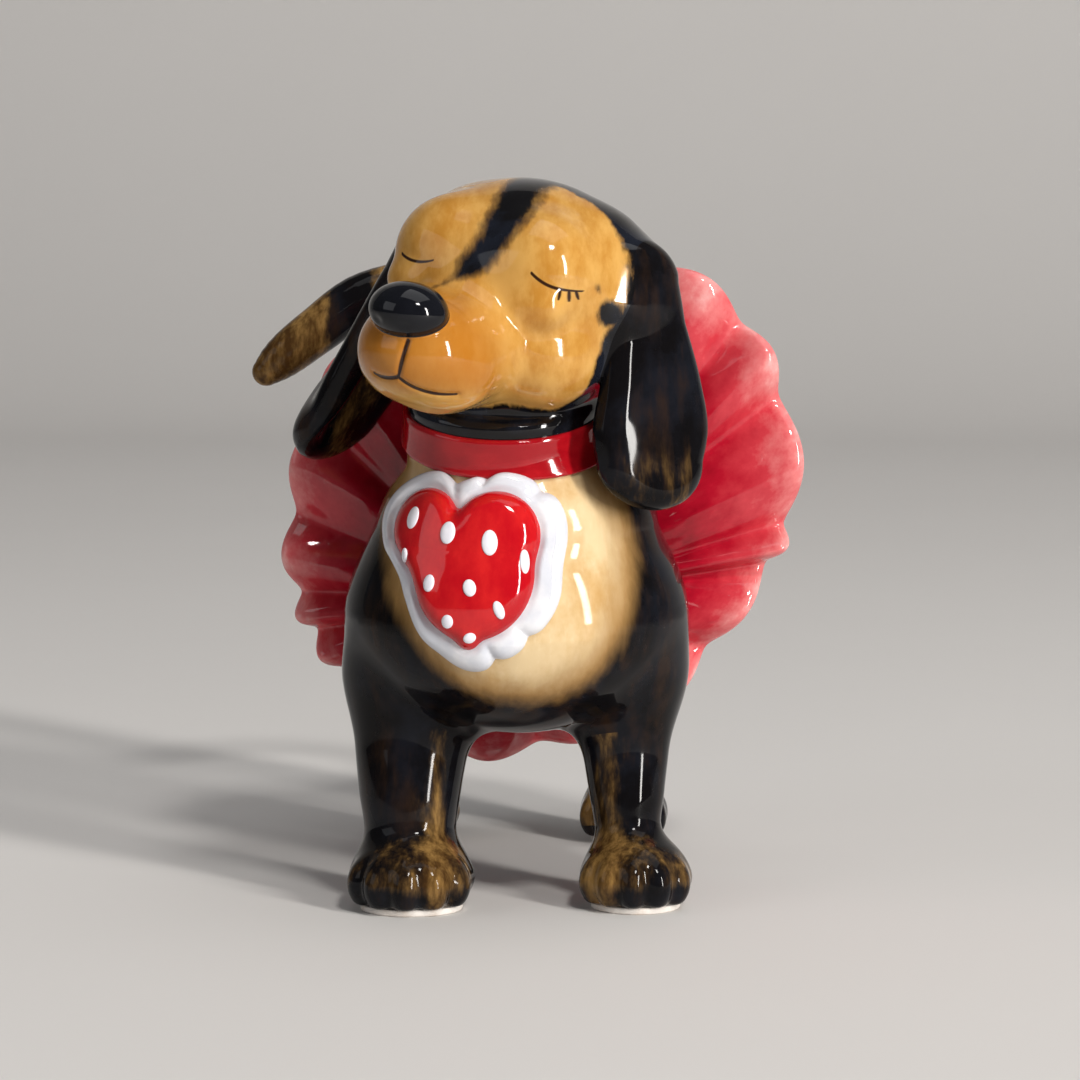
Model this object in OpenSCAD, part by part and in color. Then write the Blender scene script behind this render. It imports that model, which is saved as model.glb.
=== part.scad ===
// Slip-cast, hand-painted ceramic dachshund in a ruffled tutu, standing on four paws.
// X runs across the dog (+X is its own left), -Y is the way it walks, +Z is up.
// The table is Z = 0. Millimetres.

/* [Torso] */
// Width across the chest
chest_width = 70; // [58:1:84]
// Depth of the chest, front to back
chest_depth = 64; // [54:1:76]
// Height of the chest's centre above the table
chest_height = 60.5; // [56:0.5:74]
// Distance from the chest's centre to the rump's centre
torso_length = 69; // [58:1:84]
// Width across the belly
belly_width = 56; // [46:1:66]
// Width across the rump
rump_width = 58; // [48:1:70]
// How much higher the rump's centre is than the chest's
rump_rise = 7.5; // [0:0.5:12]
// Thickness of the cast wall
wall = 3.5; // [2.5:0.5:5]
// Radius of the vent hole under the belly
vent_radius = 3.5; // [2:0.5:5]

/* [Neck and collar] */
// Diameter of the neck under the collar
neck_width = 39.8; // [34:0.2:48]
// Height of the collar's centre above the chest's centre
neck_lift = 38; // [34:0.5:44]
// Height of the collar band
collar_height = 8; // [5:0.5:10]
// How far the collar stands out from the neck
collar_thickness = 1; // [0.6:0.1:2]
// Angle at which the collar dips towards the front
collar_tilt = 17; // [0:1:25]

/* [Head] */
// Width across the skull
skull_width = 52; // [44:1:60]
// Length of the skull
skull_length = 52; // [44:1:60]
// Height of the skull
skull_height = 44; // [38:1:52]
// Distance from the skull's centre to the muzzle's rounded end
muzzle_length = 35; // [30:0.5:42]
// Width of the muzzle's rounded end
muzzle_width = 27; // [22:0.5:32]
// Width of the nose
nose_width = 16; // [12:0.5:20]
// Height of the skull's centre above the collar's centre
head_lift = 26.4; // [24:0.2:34]
// Turn of the head towards the dog's right
head_turn = 28; // [0:1:45]
// Upward tilt of the muzzle
head_nod = -3.5; // [-10:0.5:15]
// Sideways lean of the head
head_lean = 10; // [0:1:20]

/* [Ears] */
// Length of the left ear's flap
left_ear_length = 51; // [44:1:56]
// Length of the right ear's flap, which flies out
right_ear_length = 60; // [50:1:64]
// Width of each ear flap at its widest
ear_width = 28; // [22:1:32]
// Thickness of each ear flap
ear_thickness = 7.5; // [5:0.5:10]
// Angle at which the left ear hangs in towards the neck
left_ear_lean = 10; // [6:1:16]
// Angle at which the right ear flies out from the head
right_ear_lean = 23; // [8:1:26]

/* [Legs] */
// Distance between the front legs' centres
front_spacing = 44.4; // [40:0.2:52]
// Distance between the hind legs' centres
hind_spacing = 46; // [40:1:52]
// How far the hind legs stand over to the dog's right
hind_offset = 2.2; // [0:0.2:4]
// Thickness of the front right leg above its paw
front_right_leg_width = 21.4; // [17:0.2:25]
// Thickness of the front left leg above its paw
front_left_leg_width = 16; // [13:0.2:22]
// Thickness of each hind leg above its paw
hind_leg_width = 15; // [12:0.2:19]
// Width of the front right paw
front_right_paw_width = 27; // [23:0.2:31]
// Width of the front left paw
front_left_paw_width = 24.4; // [21:0.2:29]
// Width of each hind paw
hind_paw_width = 21; // [18:0.2:26]
// Height of the bare clay foot ring under each paw
sole_height = 1.2; // [0.6:0.1:2]
// How far the foot ring is set in from the paw's edge
sole_inset = 3; // [2:0.1:4]

/* [Tutu] */
// Mean radius of the tutu
tutu_radius = 55; // [48:0.5:60]
// How far the tutu is drawn out towards two opposite sides
tutu_stretch = 3.8; // [0:0.5:6]
// Place of the tutu behind the chest's centre
tutu_setback = 33; // [28:1:38]
// Thickness of the tutu's rim
tutu_thickness = 4.4; // [3:0.1:6]
// Number of ruffles round the tutu
ruffle_count = 16; // [10:1:22]
// How far each ruffle swings to the front and to the back at the rim
ruffle_swing = 3.6; // [1:0.1:5]
// How far each ruffle stands out past the crease beside it
ruffle_scallop = 3; // [1:0.5:4]

/* [Heart] */
// Width of the red heart
heart_width = 30; // [24:1:34]
// Height of the red heart
heart_height = 33; // [26:1:36]
// How far the heart's dome stands out in front of its frill
heart_dome = 4.2; // [2.5:0.1:6]
// Width of the white frill outside the heart
frill_margin = 4.6; // [3:0.1:6]
// Thickness of the white frill
frill_thickness = 2.2; // [1.4:0.1:3.5]
// How far each seed stands out of the heart
seed_proud = 0.5; // [0.3:0.1:1]

/* [Tail] */
// Diameter of the tail where it leaves the rump
tail_root = 15; // [12:0.5:18]
// Diameter of the tail before its tip
tail_end = 11; // [8:0.5:13]
// How far the tail sweeps out to the dog's right
tail_sweep = 59; // [44:1:66]
// How far the tail rises above the rump's centre
tail_rise = 55; // [45:1:62]

/* [Hidden] */

ball_facets = 24;
ring_facets = 96;
far = 200;                        // larger than the whole dog
groove_depth = 6;                 // deeper than any clay that swells out round the collar

glaze_black = [0.06, 0.045, 0.04];
glaze_ochre = [0.80, 0.50, 0.16];
glaze_red = [0.74, 0.07, 0.08];
glaze_pink = [0.92, 0.35, 0.36];
glaze_white = [0.95, 0.94, 0.95];
bare_clay = [0.90, 0.87, 0.83];

// Places of the main forms
chest_at = [0, -3, chest_height];
rump_at = [0, torso_length - 3, chest_height + rump_rise];
collar_at = [-2, -8, chest_height + neck_lift];
head_at = collar_at + [3.4, -4, head_lift];
tutu_at = [3.4, chest_at[1] + tutu_setback, chest_height + 20];
heart_tilt = -10;
heart_turn = -13;
heart_roll = 3;

// Radii of the neck, the collar and the chest's own forms
neck_radius = neck_width / 2;
chest_radii = [chest_width / 2, chest_depth / 2, 25];
upper_chest_radii = [chest_width / 2 - 6, chest_depth / 2 - 6, 17];
belly_radii = [belly_width / 2, 25, 25];
rump_radii = [rump_width / 2, 24, 25];

// The legs: [across, along, leg width, paw width, paw's forward reach, paw's shift across]
front_left = [front_spacing / 2 + 0.5, -6, front_left_leg_width, front_left_paw_width, 6, 2];
front_right = [0.5 - front_spacing / 2, -8, front_right_leg_width, front_right_paw_width, 7, 0.7];
hind_left = [hind_spacing / 2 - hind_offset, rump_at[1] + 6, hind_leg_width, hind_paw_width, 5, 0.5];
hind_right = [-hind_spacing / 2 - hind_offset, rump_at[1] + 6, hind_leg_width, hind_paw_width, 5, -0.5];

// The tail's route: it climbs from the rump, arches over and droops to the dog's right
tail_arch = [
    // share of the sweep, step back from the rump, share of the rise, share of the thinning
    [0.00, 17, 0.24, 0.0], [0.05, 28, 0.56, 0.3], [0.19, 33, 0.86, 0.5],
    [0.42, 31, 1.00, 0.7], [0.65, 27, 0.97, 0.9], [0.84, 23, 0.83, 1.0], [1.00, 21, 0.70, 1.6]
];
function tail_radius(thinning) = max(3, (tail_root - (tail_root - tail_end) * thinning) / 2);
function tail_point(s) = rump_at + [-s[0] * tail_sweep, s[1], s[2] * tail_rise];

// The dog stands with the middle of its box over the origin
left_reach = tail_point(tail_arch[6])[0] - tail_radius(1.6);
right_reach = tutu_at[0] + tutu_edge(0) - 0.6;
nose_depth = nose_width * 0.44;
front_reach = head_at[1] - (muzzle_length + 9 + nose_depth) * cos(head_turn);
back_reach = tail_point(tail_arch[2])[1] + tail_radius(0.5);
stand = [-(left_reach + right_reach) / 2, -(front_reach + back_reach) / 2, 0];

// ---- Helpers ----

module placed() { translate(stand) children(); }

// An ellipsoid of the radii given
module ball(at, radii) { translate(at) scale(radii) sphere(r = 1, $fn = ball_facets); }

// One smooth limb through a row of [place, radii]
module limb(stations, grow = 0) {
    for (i = [0 : len(stations) - 2])
        hull() for (s = [stations[i], stations[i + 1]])
            ball(s[0], s[1] + [grow, grow, grow]);
}

// The collar's own frame: Z along the neck
module at_collar() { translate(collar_at) rotate([collar_tilt, 0, 0]) children(); }

// The head's own frame: -Y along the muzzle
module at_head() {
    translate(head_at) rotate([0, 0, -head_turn]) rotate([-head_nod, 0, 0])
        rotate([0, head_lean, 0]) children();
}

// The heart's own frame: -Y out of the chest
module at_heart() {
    translate([-10.4, chest_at[1] - chest_depth / 2 + 2, chest_height + 11])
        rotate([0, 0, heart_turn]) rotate([heart_tilt, 0, 0]) rotate([0, heart_roll, 0]) children();
}

// The groove that the collar lies in, which runs round the neck
module collar_groove() {
    at_collar() rotate_extrude($fn = ring_facets)
        translate([neck_radius, -collar_height / 2]) square([groove_depth, collar_height]);
}

// Everything above the collar's lower edge
module above_collar_edge() {
    at_collar() translate([-far / 2, -far / 2, -collar_height / 2]) cube(far);
}

// Everything above the seam under the collar, where the head is luted to the torso
module above_seam() { at_collar() translate([-far / 2, -far / 2, 0]) cube(far); }

// ---- Torso ----

module torso_form(grow = 0) {
    upper_chest = chest_at + [0, -2, 18];
    limb([
        [upper_chest, upper_chest_radii],
        [chest_at, chest_radii],
        [chest_at + [0, torso_length / 3, 4.5], belly_radii + [3, 1, 1]],
        [chest_at + [0, torso_length * 0.62, 6.5], belly_radii],
        [rump_at - [0, 12, 0.5], rump_radii - [1, 0, 0]],
        [rump_at, rump_radii],
        [rump_at + [0, 8, 2], rump_radii - [7, 4, 5]]
    ], grow);
    // The neck widens into the upper chest
    hull() {
        at_collar() translate([0, 0, -collar_height / 2 - 1]) cylinder(
            r = neck_radius + grow, h = 1, $fn = ball_facets * 2);
        ball(upper_chest, upper_chest_radii + [grow, grow, grow]);
    }
    at_collar() translate([0, 0, -collar_height / 2 - 1]) cylinder(
        r = neck_radius + grow, h = collar_height, $fn = ball_facets * 2);
    // Shoulders over the front legs
    for (side = [-1, 1]) {
        hull() {
            ball([side * front_spacing / 2, -4, chest_height - 12], [13.5, 13, 14]
                + [grow, grow, grow]);
            ball([side * 12, 2, chest_height], [18, 22, 18] + [grow, grow, grow]);
        }
    }
}

module vent() {
    translate(chest_at + [0, torso_length * 0.62, -far]) cylinder(r = vent_radius, h = far, $fn = 32);
}

module torso() {
    color(glaze_black) placed() difference() {
        torso_form();
        above_seam();
        collar_groove();
        torso_form(-wall);
        vent();
    }
}

// ---- Head ----

muzzle_back = [0, -14, -7];
muzzle_end = [0, -muzzle_length, -8];
muzzle_radii = [muzzle_width / 2, muzzle_width / 2 - 0.5, muzzle_width / 2 - 2.5];
skull_radii = [skull_width, skull_length, skull_height] / 2;

module head_form(grow = 0) {
    g = [grow, grow, grow];
    at_head() {
        ball([0, 1, 0.5], skull_radii + g);
        limb([[muzzle_back, [15, 15, 13]], [muzzle_end, muzzle_radii]], grow);
        hull() {                                   // lower jaw
            ball([0, -muzzle_length + 6, -15], [8.5, 9.5, 6.5] + g);
            ball([0, -6, -9], [13, 14, 10] + g);
        }
        for (side = [-1, 1]) {
            hull() {                               // brow
                ball([side * skull_width * 0.19, -11, 7], [12.5, 12, 12.5] + g);
                ball([side * 5, 0, 3], [18, 20, 17] + g);
            }
            hull() {                               // cheek
                ball([side * skull_width * 0.22, -8, -9], [13, 15, 11.5] + g);
                ball([side * 6, 2, -2], [18, 20, 16] + g);
            }
            hull() {                               // upper lip
                ball([side * muzzle_width * 0.2, -muzzle_length + 2, -11], [8.5, 9, 8] + g);
                ball(muzzle_back, [12, 12, 11] + g);
            }
        }
    }
    hull() {                                       // throat
        at_collar() translate([0, 0, -1]) cylinder(r = neck_radius - 0.8 + grow,
            h = collar_height / 2 + 2, $fn = ball_facets * 2);
        at_head() ball([0, 3, -8], [19, 19, 10] + g);
    }
    at_collar() translate([0, 0, -1]) cylinder(r = neck_radius + grow,
        h = collar_height / 2 + 1, $fn = ball_facets * 2);
}

module head_cavity() {
    at_head() {
        ball([0, 1, 0.5], skull_radii - [wall, wall, wall]);
        hull() {
            ball(muzzle_back, [15, 15, 13] - [wall, wall, wall]);
            ball(muzzle_end + [0, 3, 0], muzzle_radii - [wall, wall, wall]);
        }
    }
    hull() {
        at_collar() translate([0, 0, -2]) cylinder(r = neck_radius - wall - 0.8, h = 2,
            $fn = ball_facets * 2);
        at_head() ball([0, 3, -6], [14, 14, 8]);
    }
}

module head() {
    color(glaze_ochre) placed() difference() {
        head_form();
        at_collar() translate([-far / 2, -far / 2, -far]) cube(far);
        collar_groove();
        head_cavity();
    }
}

module nose() {
    color(glaze_black) placed() difference() {
        at_head() ball([0, -muzzle_length - 8, 0.4], [nose_width / 2, nose_depth, nose_width * 0.35]);
        head_form();
    }
}

// An ear hangs from its root as a flat flap, broad below and rounded at its tip
module ear_form(side, length, turn, lean) {
    half = ear_width / 2;
    thick = ear_thickness / 2;
    at_head() translate([side * skull_width * 0.5, 4, 10]) rotate([0, 0, turn]) rotate([0, lean, 0])
        limb([
            [[0, 0, 2], [thick + 0.4, half * 0.46, 6]],
            [[0, 1, -length * 0.18], [thick + 0.3, half * 0.76, 8]],
            [[0, 2, -length * 0.46], [thick, half * 0.97, 10]],
            [[0, 1.5, -length * 0.68], [thick, half, 9]],
            [[0, 0.5, -length * 0.8], [thick * 0.9, half * 0.84, 8]]
        ]);
}

module left_ear() {
    color(glaze_black) placed() difference() {
        ear_form(1, left_ear_length, -23, -left_ear_lean);
        head_form();
        torso_form();
    }
}

module right_ear() {
    color(glaze_black) placed() difference() {
        ear_form(-1, right_ear_length, -2, right_ear_lean);
        head_form();
        torso_form();
        tutu_form();
    }
}

// ---- Collar: a rounded strap round the seam ----

module collar() {
    edge = collar_thickness * 0.6;
    color(glaze_red) placed() at_collar() rotate_extrude($fn = ring_facets) polygon([
        [neck_radius, -collar_height / 2],
        [neck_radius + collar_thickness - edge, -collar_height / 2],
        [neck_radius + collar_thickness, -collar_height / 2 + edge],
        [neck_radius + collar_thickness, collar_height / 2 - edge],
        [neck_radius + collar_thickness - edge, collar_height / 2],
        [neck_radius, collar_height / 2]
    ]);
}

// ---- Legs ----

function paw_at(leg) = [leg[0] + leg[5], leg[1] - leg[4], 0];

module leg_form(leg) {
    w = leg[2] / 2;
    paw = leg[3] / 2;
    top = chest_height - 20;
    shoulder = w + 2.6;
    limb([
        [[leg[0] * 0.96, leg[1], top], [shoulder, w + 3, 14]],
        [[leg[0], leg[1], 22], [w, w, 8]],
        [[leg[0], leg[1], 13], [w - 1, w, 6]],
        [[leg[0] + leg[5] / 2, leg[1] - 2, 8], [paw - 2, paw - 1.5, 8]]
    ]);
    ball(paw_at(leg) + [0, 0, 6.5], [paw, paw, 6.5]);
}

module leg(leg) {
    color(glaze_black) placed() difference() {
        leg_form(leg);
        torso_form();
        translate([-far / 2, -far / 2, sole_height - far]) cube(far);
    }
}

// A thigh joins each hind leg to the rump
module hind_leg(leg) {
    side = sign(leg[0]);
    color(glaze_black) placed() difference() {
        union() {
            leg_form(leg);
            limb([
                [[side * 17, rump_at[1] - 1, chest_height - 3], [14, 18, 18]],
                [[leg[0] * 0.92, leg[1] - 1, 34], [leg[2] / 2 + 2, leg[2] / 2 + 3, 9]]
            ]);
        }
        torso_form();
        translate([-far / 2, -far / 2, sole_height - far]) cube(far);
    }
}

module front_left_leg() { leg(front_left); }
module front_right_leg() { leg(front_right); }
module hind_left_leg() { hind_leg(hind_left); }
module hind_right_leg() { hind_leg(hind_right); }

// The foot ring is left unglazed so that it doesn't stick to the kiln shelf
module sole(leg) {
    color(bare_clay) placed() translate(paw_at(leg))
        cylinder(r = leg[3] / 2 - sole_inset, h = sole_height, $fn = ring_facets);
}

module front_left_sole() { sole(front_left); }
module front_right_sole() { sole(front_right); }
module hind_left_sole() { sole(hind_left); }
module hind_right_sole() { sole(hind_right); }

// ---- Tutu: one ruffled ring round the ribs ----

tutu_steps = 6 * ruffle_count;
tutu_hole = min(belly_width, chest_width) / 2 - 10;   // the inner edge lies inside the torso's wall
hole_at = [-tutu_at[0], 5.5 - 20];                    // the torso's own middle, from the tutu's
tutu_profile = [                  // [share of the way out, share of half the thickness]
    [0, 1], [0.35, 0.9], [0.7, 0.9], [0.92, 0.9], [0.985, 0.55],
    [0.985, -0.55], [0.92, -0.9], [0.7, -0.9], [0.35, -0.9], [0, -1]
];

function tutu_edge(a) = tutu_radius + tutu_stretch * cos(2 * a - 90)
    + ruffle_scallop * (abs(cos(ruffle_count * a / 2)) - 0.6);
function tutu_point(a, p) =
    let (inner = hole_at + tutu_hole * [cos(a), sin(a)],
         outer = tutu_edge(a) * [cos(a), sin(a)],
         at = inner + (outer - inner) * p[0])
    [at[0], -ruffle_swing * p[0] * cos(ruffle_count * a) + p[1] * tutu_thickness / 2, at[1]];

module tutu_form() {
    n = len(tutu_profile);
    points = [for (i = [0 : tutu_steps - 1]) for (p = tutu_profile) tutu_point(i * 360 / tutu_steps, p)];
    faces = [for (i = [0 : tutu_steps - 1]) for (j = [0 : n - 1])
        let (i2 = (i + 1) % tutu_steps, j2 = (j + 1) % n)
        each [[i * n + j, i * n + j2, i2 * n + j2], [i * n + j, i2 * n + j2, i2 * n + j]]];
    translate(tutu_at) polyhedron(points = points, faces = faces, convexity = 6);
}

module tutu() {
    color(glaze_pink) placed() difference() {
        tutu_form();
        torso_form();
    }
}

// ---- Tail ----

module tail() {
    color(glaze_black) placed() difference() {
        limb([for (s = tail_arch) [tail_point(s), tail_radius(s[3]) * [1, 1, 1]]]);
        torso_form();
    }
}

// ---- Heart on the chest ----

heart_steps = 60;
frill_scallops = 18;
heart_tip = 2.4;

function heart_point(t) = [
    heart_width / 2 * sign(sin(t)) * pow(abs(sin(t)), 2),
    heart_height / 27.5 * (13 * cos(t) - 5 * cos(2 * t) - 2 * cos(3 * t) - cos(4 * t) + 2.6)
];
function heart_out(t) =           // unit vector out of the heart's edge
    let (d = heart_point(t + 1) - heart_point(t - 1), l = max(norm(d), 0.001)) [-d[1], d[0]] / l;
function frill_point(t) = heart_point(t) + heart_out(t) * (frill_margin - 1);

// The heart's tip is rounded and the notch between its lobes stays sharp
module heart_flat() {
    offset(r = heart_tip, $fn = 32) offset(delta = -heart_tip)
        polygon([for (i = [0 : heart_steps - 1]) heart_point(i * 360 / heart_steps)]);
}

module frill_flat() {
    offset(r = frill_margin - 0.8, $fn = 32) heart_flat();
    for (i = [1 : frill_scallops - 1])
        translate(frill_point(i * 360 / frill_scallops)) circle(r = 1.4, $fn = 16);
}

module through_chest() {
    at_heart() translate([0, 12, 0]) rotate([90, 0, 0]) linear_extrude(height = 40) children();
}

// The front of the heart: it follows the chest and domes in its middle
module heart_front(grow = 0) {
    intersection() {
        torso_form(frill_thickness + heart_dome + grow);
        at_heart() ball([0, 12, -1.5], [heart_width * 0.85, 12 + frill_thickness + heart_dome,
            heart_height * 0.82] + [grow, grow, grow]);
    }
}

module heart_frill() {
    color(glaze_white) placed() difference() {
        intersection() {
            through_chest() frill_flat();
            torso_form(frill_thickness);
        }
        torso_form();
        above_collar_edge();
    }
}

module heart() {
    color(glaze_red) placed() difference() {
        intersection() {
            through_chest() heart_flat();
            heart_front();
        }
        torso_form(frill_thickness);
    }
}

// Seeds in the order of the rows: [across, up, width, height] as shares of the heart
seed_rows = [
    [-0.33, 0.27, 0.075, 0.15], [-0.07, 0.19, 0.085, 0.15], [0.19, 0.17, 0.085, 0.15],
    [0.41, 0.06, 0.06, 0.13], [-0.38, 0.03, 0.045, 0.09], [-0.2, -0.13, 0.06, 0.10],
    [0.07, -0.13, 0.07, 0.10], [0.23, -0.24, 0.06, 0.12], [-0.1, -0.34, 0.06, 0.08],
    [0.04, -0.42, 0.06, 0.07]
];

module heart_seeds() {
    color(glaze_white) placed() difference() {
        intersection() {
            heart_front(seed_proud);
            at_heart() for (s = seed_rows)
                translate([s[0] * heart_width, 12, s[1] * heart_height]) rotate([90, 0, 0])
                    scale([s[2] * heart_width, s[3] * heart_height, 1])
                        cylinder(r = 0.5, h = 40, $fn = 16);
        }
        heart_front();
    }
}

torso();
head();
nose();
left_ear();
right_ear();
collar();
tutu();
tail();
heart_frill();
heart();
heart_seeds();
front_left_leg();
front_right_leg();
hind_left_leg();
hind_right_leg();
front_left_sole();
front_right_sole();
hind_left_sole();
hind_right_sole();
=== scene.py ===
# %% [markdown]
# # A ceramic dachshund in a tutu
#
# The real object is slip-cast, painted by hand and fired under a clear gloss glaze.
# Nothing on it is a box or a tube: the whole dog is one soft form with pieces luted on.
# So the clay pieces are sculpted as distance fields, which blend like wet clay does, the tutu and
# the seeds are grown by Geometry Nodes, and the paint is made of brushed masks in the shaders.

# %% Load the frame
import math

import bpy
import numpy as np
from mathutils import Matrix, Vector


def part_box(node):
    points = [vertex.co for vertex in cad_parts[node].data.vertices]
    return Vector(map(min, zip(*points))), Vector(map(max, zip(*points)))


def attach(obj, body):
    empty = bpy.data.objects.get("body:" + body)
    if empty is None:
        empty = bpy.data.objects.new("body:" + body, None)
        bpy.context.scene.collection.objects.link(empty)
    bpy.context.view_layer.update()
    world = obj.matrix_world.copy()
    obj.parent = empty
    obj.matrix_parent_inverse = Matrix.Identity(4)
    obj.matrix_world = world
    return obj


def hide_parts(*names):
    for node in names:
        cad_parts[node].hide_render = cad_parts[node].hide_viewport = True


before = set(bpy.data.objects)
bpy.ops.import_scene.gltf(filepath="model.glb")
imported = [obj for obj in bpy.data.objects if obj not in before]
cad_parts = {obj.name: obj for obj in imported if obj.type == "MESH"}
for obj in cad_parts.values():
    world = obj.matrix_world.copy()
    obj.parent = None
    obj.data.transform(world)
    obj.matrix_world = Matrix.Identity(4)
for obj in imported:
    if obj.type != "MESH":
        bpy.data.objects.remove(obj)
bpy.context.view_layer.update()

# %% [markdown]
# ## The dog's own frame
#
# Shapes are drawn in millimetres in the dog's own frame: +X is its left, -Y is the way it walks,
# +Z is up, and X = 0 is the middle of the chest. The foot rings in the CAD model say where that
# frame stands, so every piece lands where the frame has it.

# %% The dog's own frame
LEG_NAMES = ("front_left", "front_right", "hind_left", "hind_right")
HIND_PAW_Y = 67.0
HIND_OFFSET = 2.2  # the hind paws stand this far over to the dog's right


def box_middle(node):
    low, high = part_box(node)
    return (np.array(low) + np.array(high)) * 500


sole_at = {leg: box_middle(leg + "_sole") for leg in LEG_NAMES}
STAND = np.array([
    (sole_at["hind_left"][0] + sole_at["hind_right"][0]) / 2 + HIND_OFFSET,
    sole_at["hind_left"][1] - HIND_PAW_Y,
    0.0,
])
paw_at = {leg: sole_at[leg] - STAND for leg in LEG_NAMES}
print("the dog stands at", STAND.round(2))


def rotation(turn, tip, lean):
    """Turn about Z after a tip about X after a lean about Y, in degrees."""
    t, p, l = (math.radians(v) for v in (turn, tip, lean))
    about_z = np.array([[math.cos(t), -math.sin(t), 0], [math.sin(t), math.cos(t), 0], [0, 0, 1]])
    about_x = np.array([[1, 0, 0], [0, math.cos(p), -math.sin(p)], [0, math.sin(p), math.cos(p)]])
    about_y = np.array([[math.cos(l), 0, math.sin(l)], [0, 1, 0], [-math.sin(l), 0, math.cos(l)]])
    return about_z @ about_x @ about_y


class Place:
    """A local frame: a point and three axes."""

    def __init__(self, at, turn=0, tip=0, lean=0, inside=None):
        self.at = np.array(at, float)
        self.axes = rotation(turn, tip, lean)
        if inside is not None:
            self.at = inside.out(self.at)
            self.axes = inside.axes @ self.axes

    def into(self, p):
        return (p - self.at) @ self.axes

    def out(self, q):
        return q @ self.axes.T + self.at


COLLAR = Place((-2, -8, 98.5), tip=17)
HEAD = Place((1.4, -12, 124.9), turn=-28, tip=3.5, lean=10)
HEART = Place((-10.4, -33, 71.5), turn=-13, tip=-10, lean=3)
LEFT_EAR = Place((25.2, 4, 7.5), turn=-23, lean=-15, inside=HEAD)
RIGHT_EAR = Place((-25.7, 4, 6.5), turn=-2, lean=23, inside=HEAD)

# %% [markdown]
# ## Clay as distance fields
#
# A distance field says how far any point is from the clay: below zero inside, above zero outside.
# Two fields join with a soft minimum, which leaves the fillet that a wet thumb leaves.
# The alternative, subdivided boxes, would need every blend modelled by hand.

# %% Clay helpers


def ellipsoid(p, at, radii):
    """Distance to an ellipsoid, close to true near its surface."""
    q = (p - np.asarray(at, float)) / radii
    k0 = np.sqrt((q * q).sum(-1))
    k1 = np.sqrt(((q / radii) ** 2).sum(-1))
    return k0 * (k0 - 1) / np.maximum(k1, 1e-9)


def swell(p, a, radii_a, b, radii_b):
    """A limb that goes from one ellipsoid to another."""
    a, b = np.array(a, float), np.array(b, float)
    along = b - a
    t = np.clip((p - a) @ along / (along @ along), 0, 1)[:, None]
    return ellipsoid(p, a + t * along, np.array(radii_a) + t * (np.array(radii_b) - radii_a))


def follow(t, rows):
    """A smooth curve through rows of [t, values...]."""
    rows = np.array(rows, float)
    x, y = rows[:, 0], rows[:, 1:]
    slope = np.gradient(y, x, axis=0)
    t = np.clip(t, x[0], x[-1])
    i = np.clip(np.searchsorted(x, t) - 1, 0, len(x) - 2)
    h = (x[i + 1] - x[i])[:, None]
    u = (t - x[i])[:, None] / h
    return ((2 * u**3 - 3 * u**2 + 1) * y[i] + (u**3 - 2 * u**2 + u) * h * slope[i]
            + (3 * u**2 - 2 * u**3) * y[i + 1] + (u**3 - u**2) * h * slope[i + 1])


def bar(p, axis, rows, first_end, last_end):
    """A rounded bar along an axis. A row is [place, centre and radii on the other two axes]."""
    others = [i for i in range(3) if i != axis]
    s = np.clip(p[:, axis], rows[0][0], rows[-1][0])
    v = follow(s, rows)
    at, radii = np.empty_like(p), np.empty_like(p)
    at[:, axis] = s
    at[:, others] = v[:, :2]
    radii[:, axis] = np.where(p[:, axis] < s, first_end, last_end)
    radii[:, others] = v[:, 2:]
    return ellipsoid(p, at, radii)


def join(a, b, soft):
    """The union of two fields with a fillet."""
    h = np.maximum(soft - np.abs(a - b), 0) / soft
    return np.minimum(a, b) - h * h * soft / 4


def meet(a, b, soft):
    """The overlap of two fields with a rounded edge."""
    return -join(-a, -b, soft)


def join_all(fields, soft):
    result = fields[0]
    for field in fields[1:]:
        result = join(result, field, soft)
    return result


def fade(x, start, end):
    """0 before start, 1 after end, smooth between them."""
    t = np.clip((x - start) / (end - start), 0, 1)
    return t * t * (3 - 2 * t)


def wave(p, size):
    """A cheap smooth wobble between about -1 and 1, for hand-made unevenness."""
    q = p / size
    return (np.sin(q[:, 0] * 1.7 + 2 * np.sin(q[:, 1])) + np.sin(q[:, 1] * 1.9 + 2 * np.sin(q[:, 2]))
            + np.sin(q[:, 2] * 1.3 + 2 * np.sin(q[:, 0]))) / 3


# %% [markdown]
# ## From a field to a mesh
#
# Surface nets put one point in each grid cell that the surface crosses, and the points are then
# pulled onto the exact surface. Only blocks near the surface are measured, which keeps it fast.
# The slope of the field gives each point's normal, so the glaze reflects without facets.

# %% Mesh a field
BLOCK = 8
HALF_DIAGONAL = 0.87  # of a cube with a side of 1
FIELD_MARGIN = 1.4  # a blended field is not a true distance, so more blocks are measured
CORNERS = np.array([[i, j, k] for i in (0, 1) for j in (0, 1) for k in (0, 1)])
EDGES = [(a, b) for a in range(8) for b in range(a + 1, 8)
         if np.abs(CORNERS[a] - CORNERS[b]).sum() == 1]


def slope_of(shape, p, reach=0.04):
    """The value and the gradient of a field at points."""
    steps = np.array([[1, -1, -1], [-1, -1, 1], [-1, 1, -1], [1, 1, 1]], float)
    values = [shape(p + reach * s) for s in steps]
    gradient = sum(v[:, None] * s for v, s in zip(values, steps)) / (4 * reach)
    return sum(values) / 4, gradient


def settle(shape, p, limit, rounds=2):
    """Moves points onto the surface of a field."""
    for _ in range(rounds):
        value, gradient = slope_of(shape, p)
        move = value / np.maximum((gradient**2).sum(1), 0.05)
        p = p - gradient * np.clip(move, -limit, limit)[:, None]
    return p


def on_axis(axis, part):
    """An index that takes a part of one axis and all of the others."""
    return tuple(part if i == axis else slice(None) for i in range(3))


def per_point(values):
    """Repeats the value of each block for all its grid points."""
    return values.repeat(BLOCK, 0).repeat(BLOCK, 1).repeat(BLOCK, 2)


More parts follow.
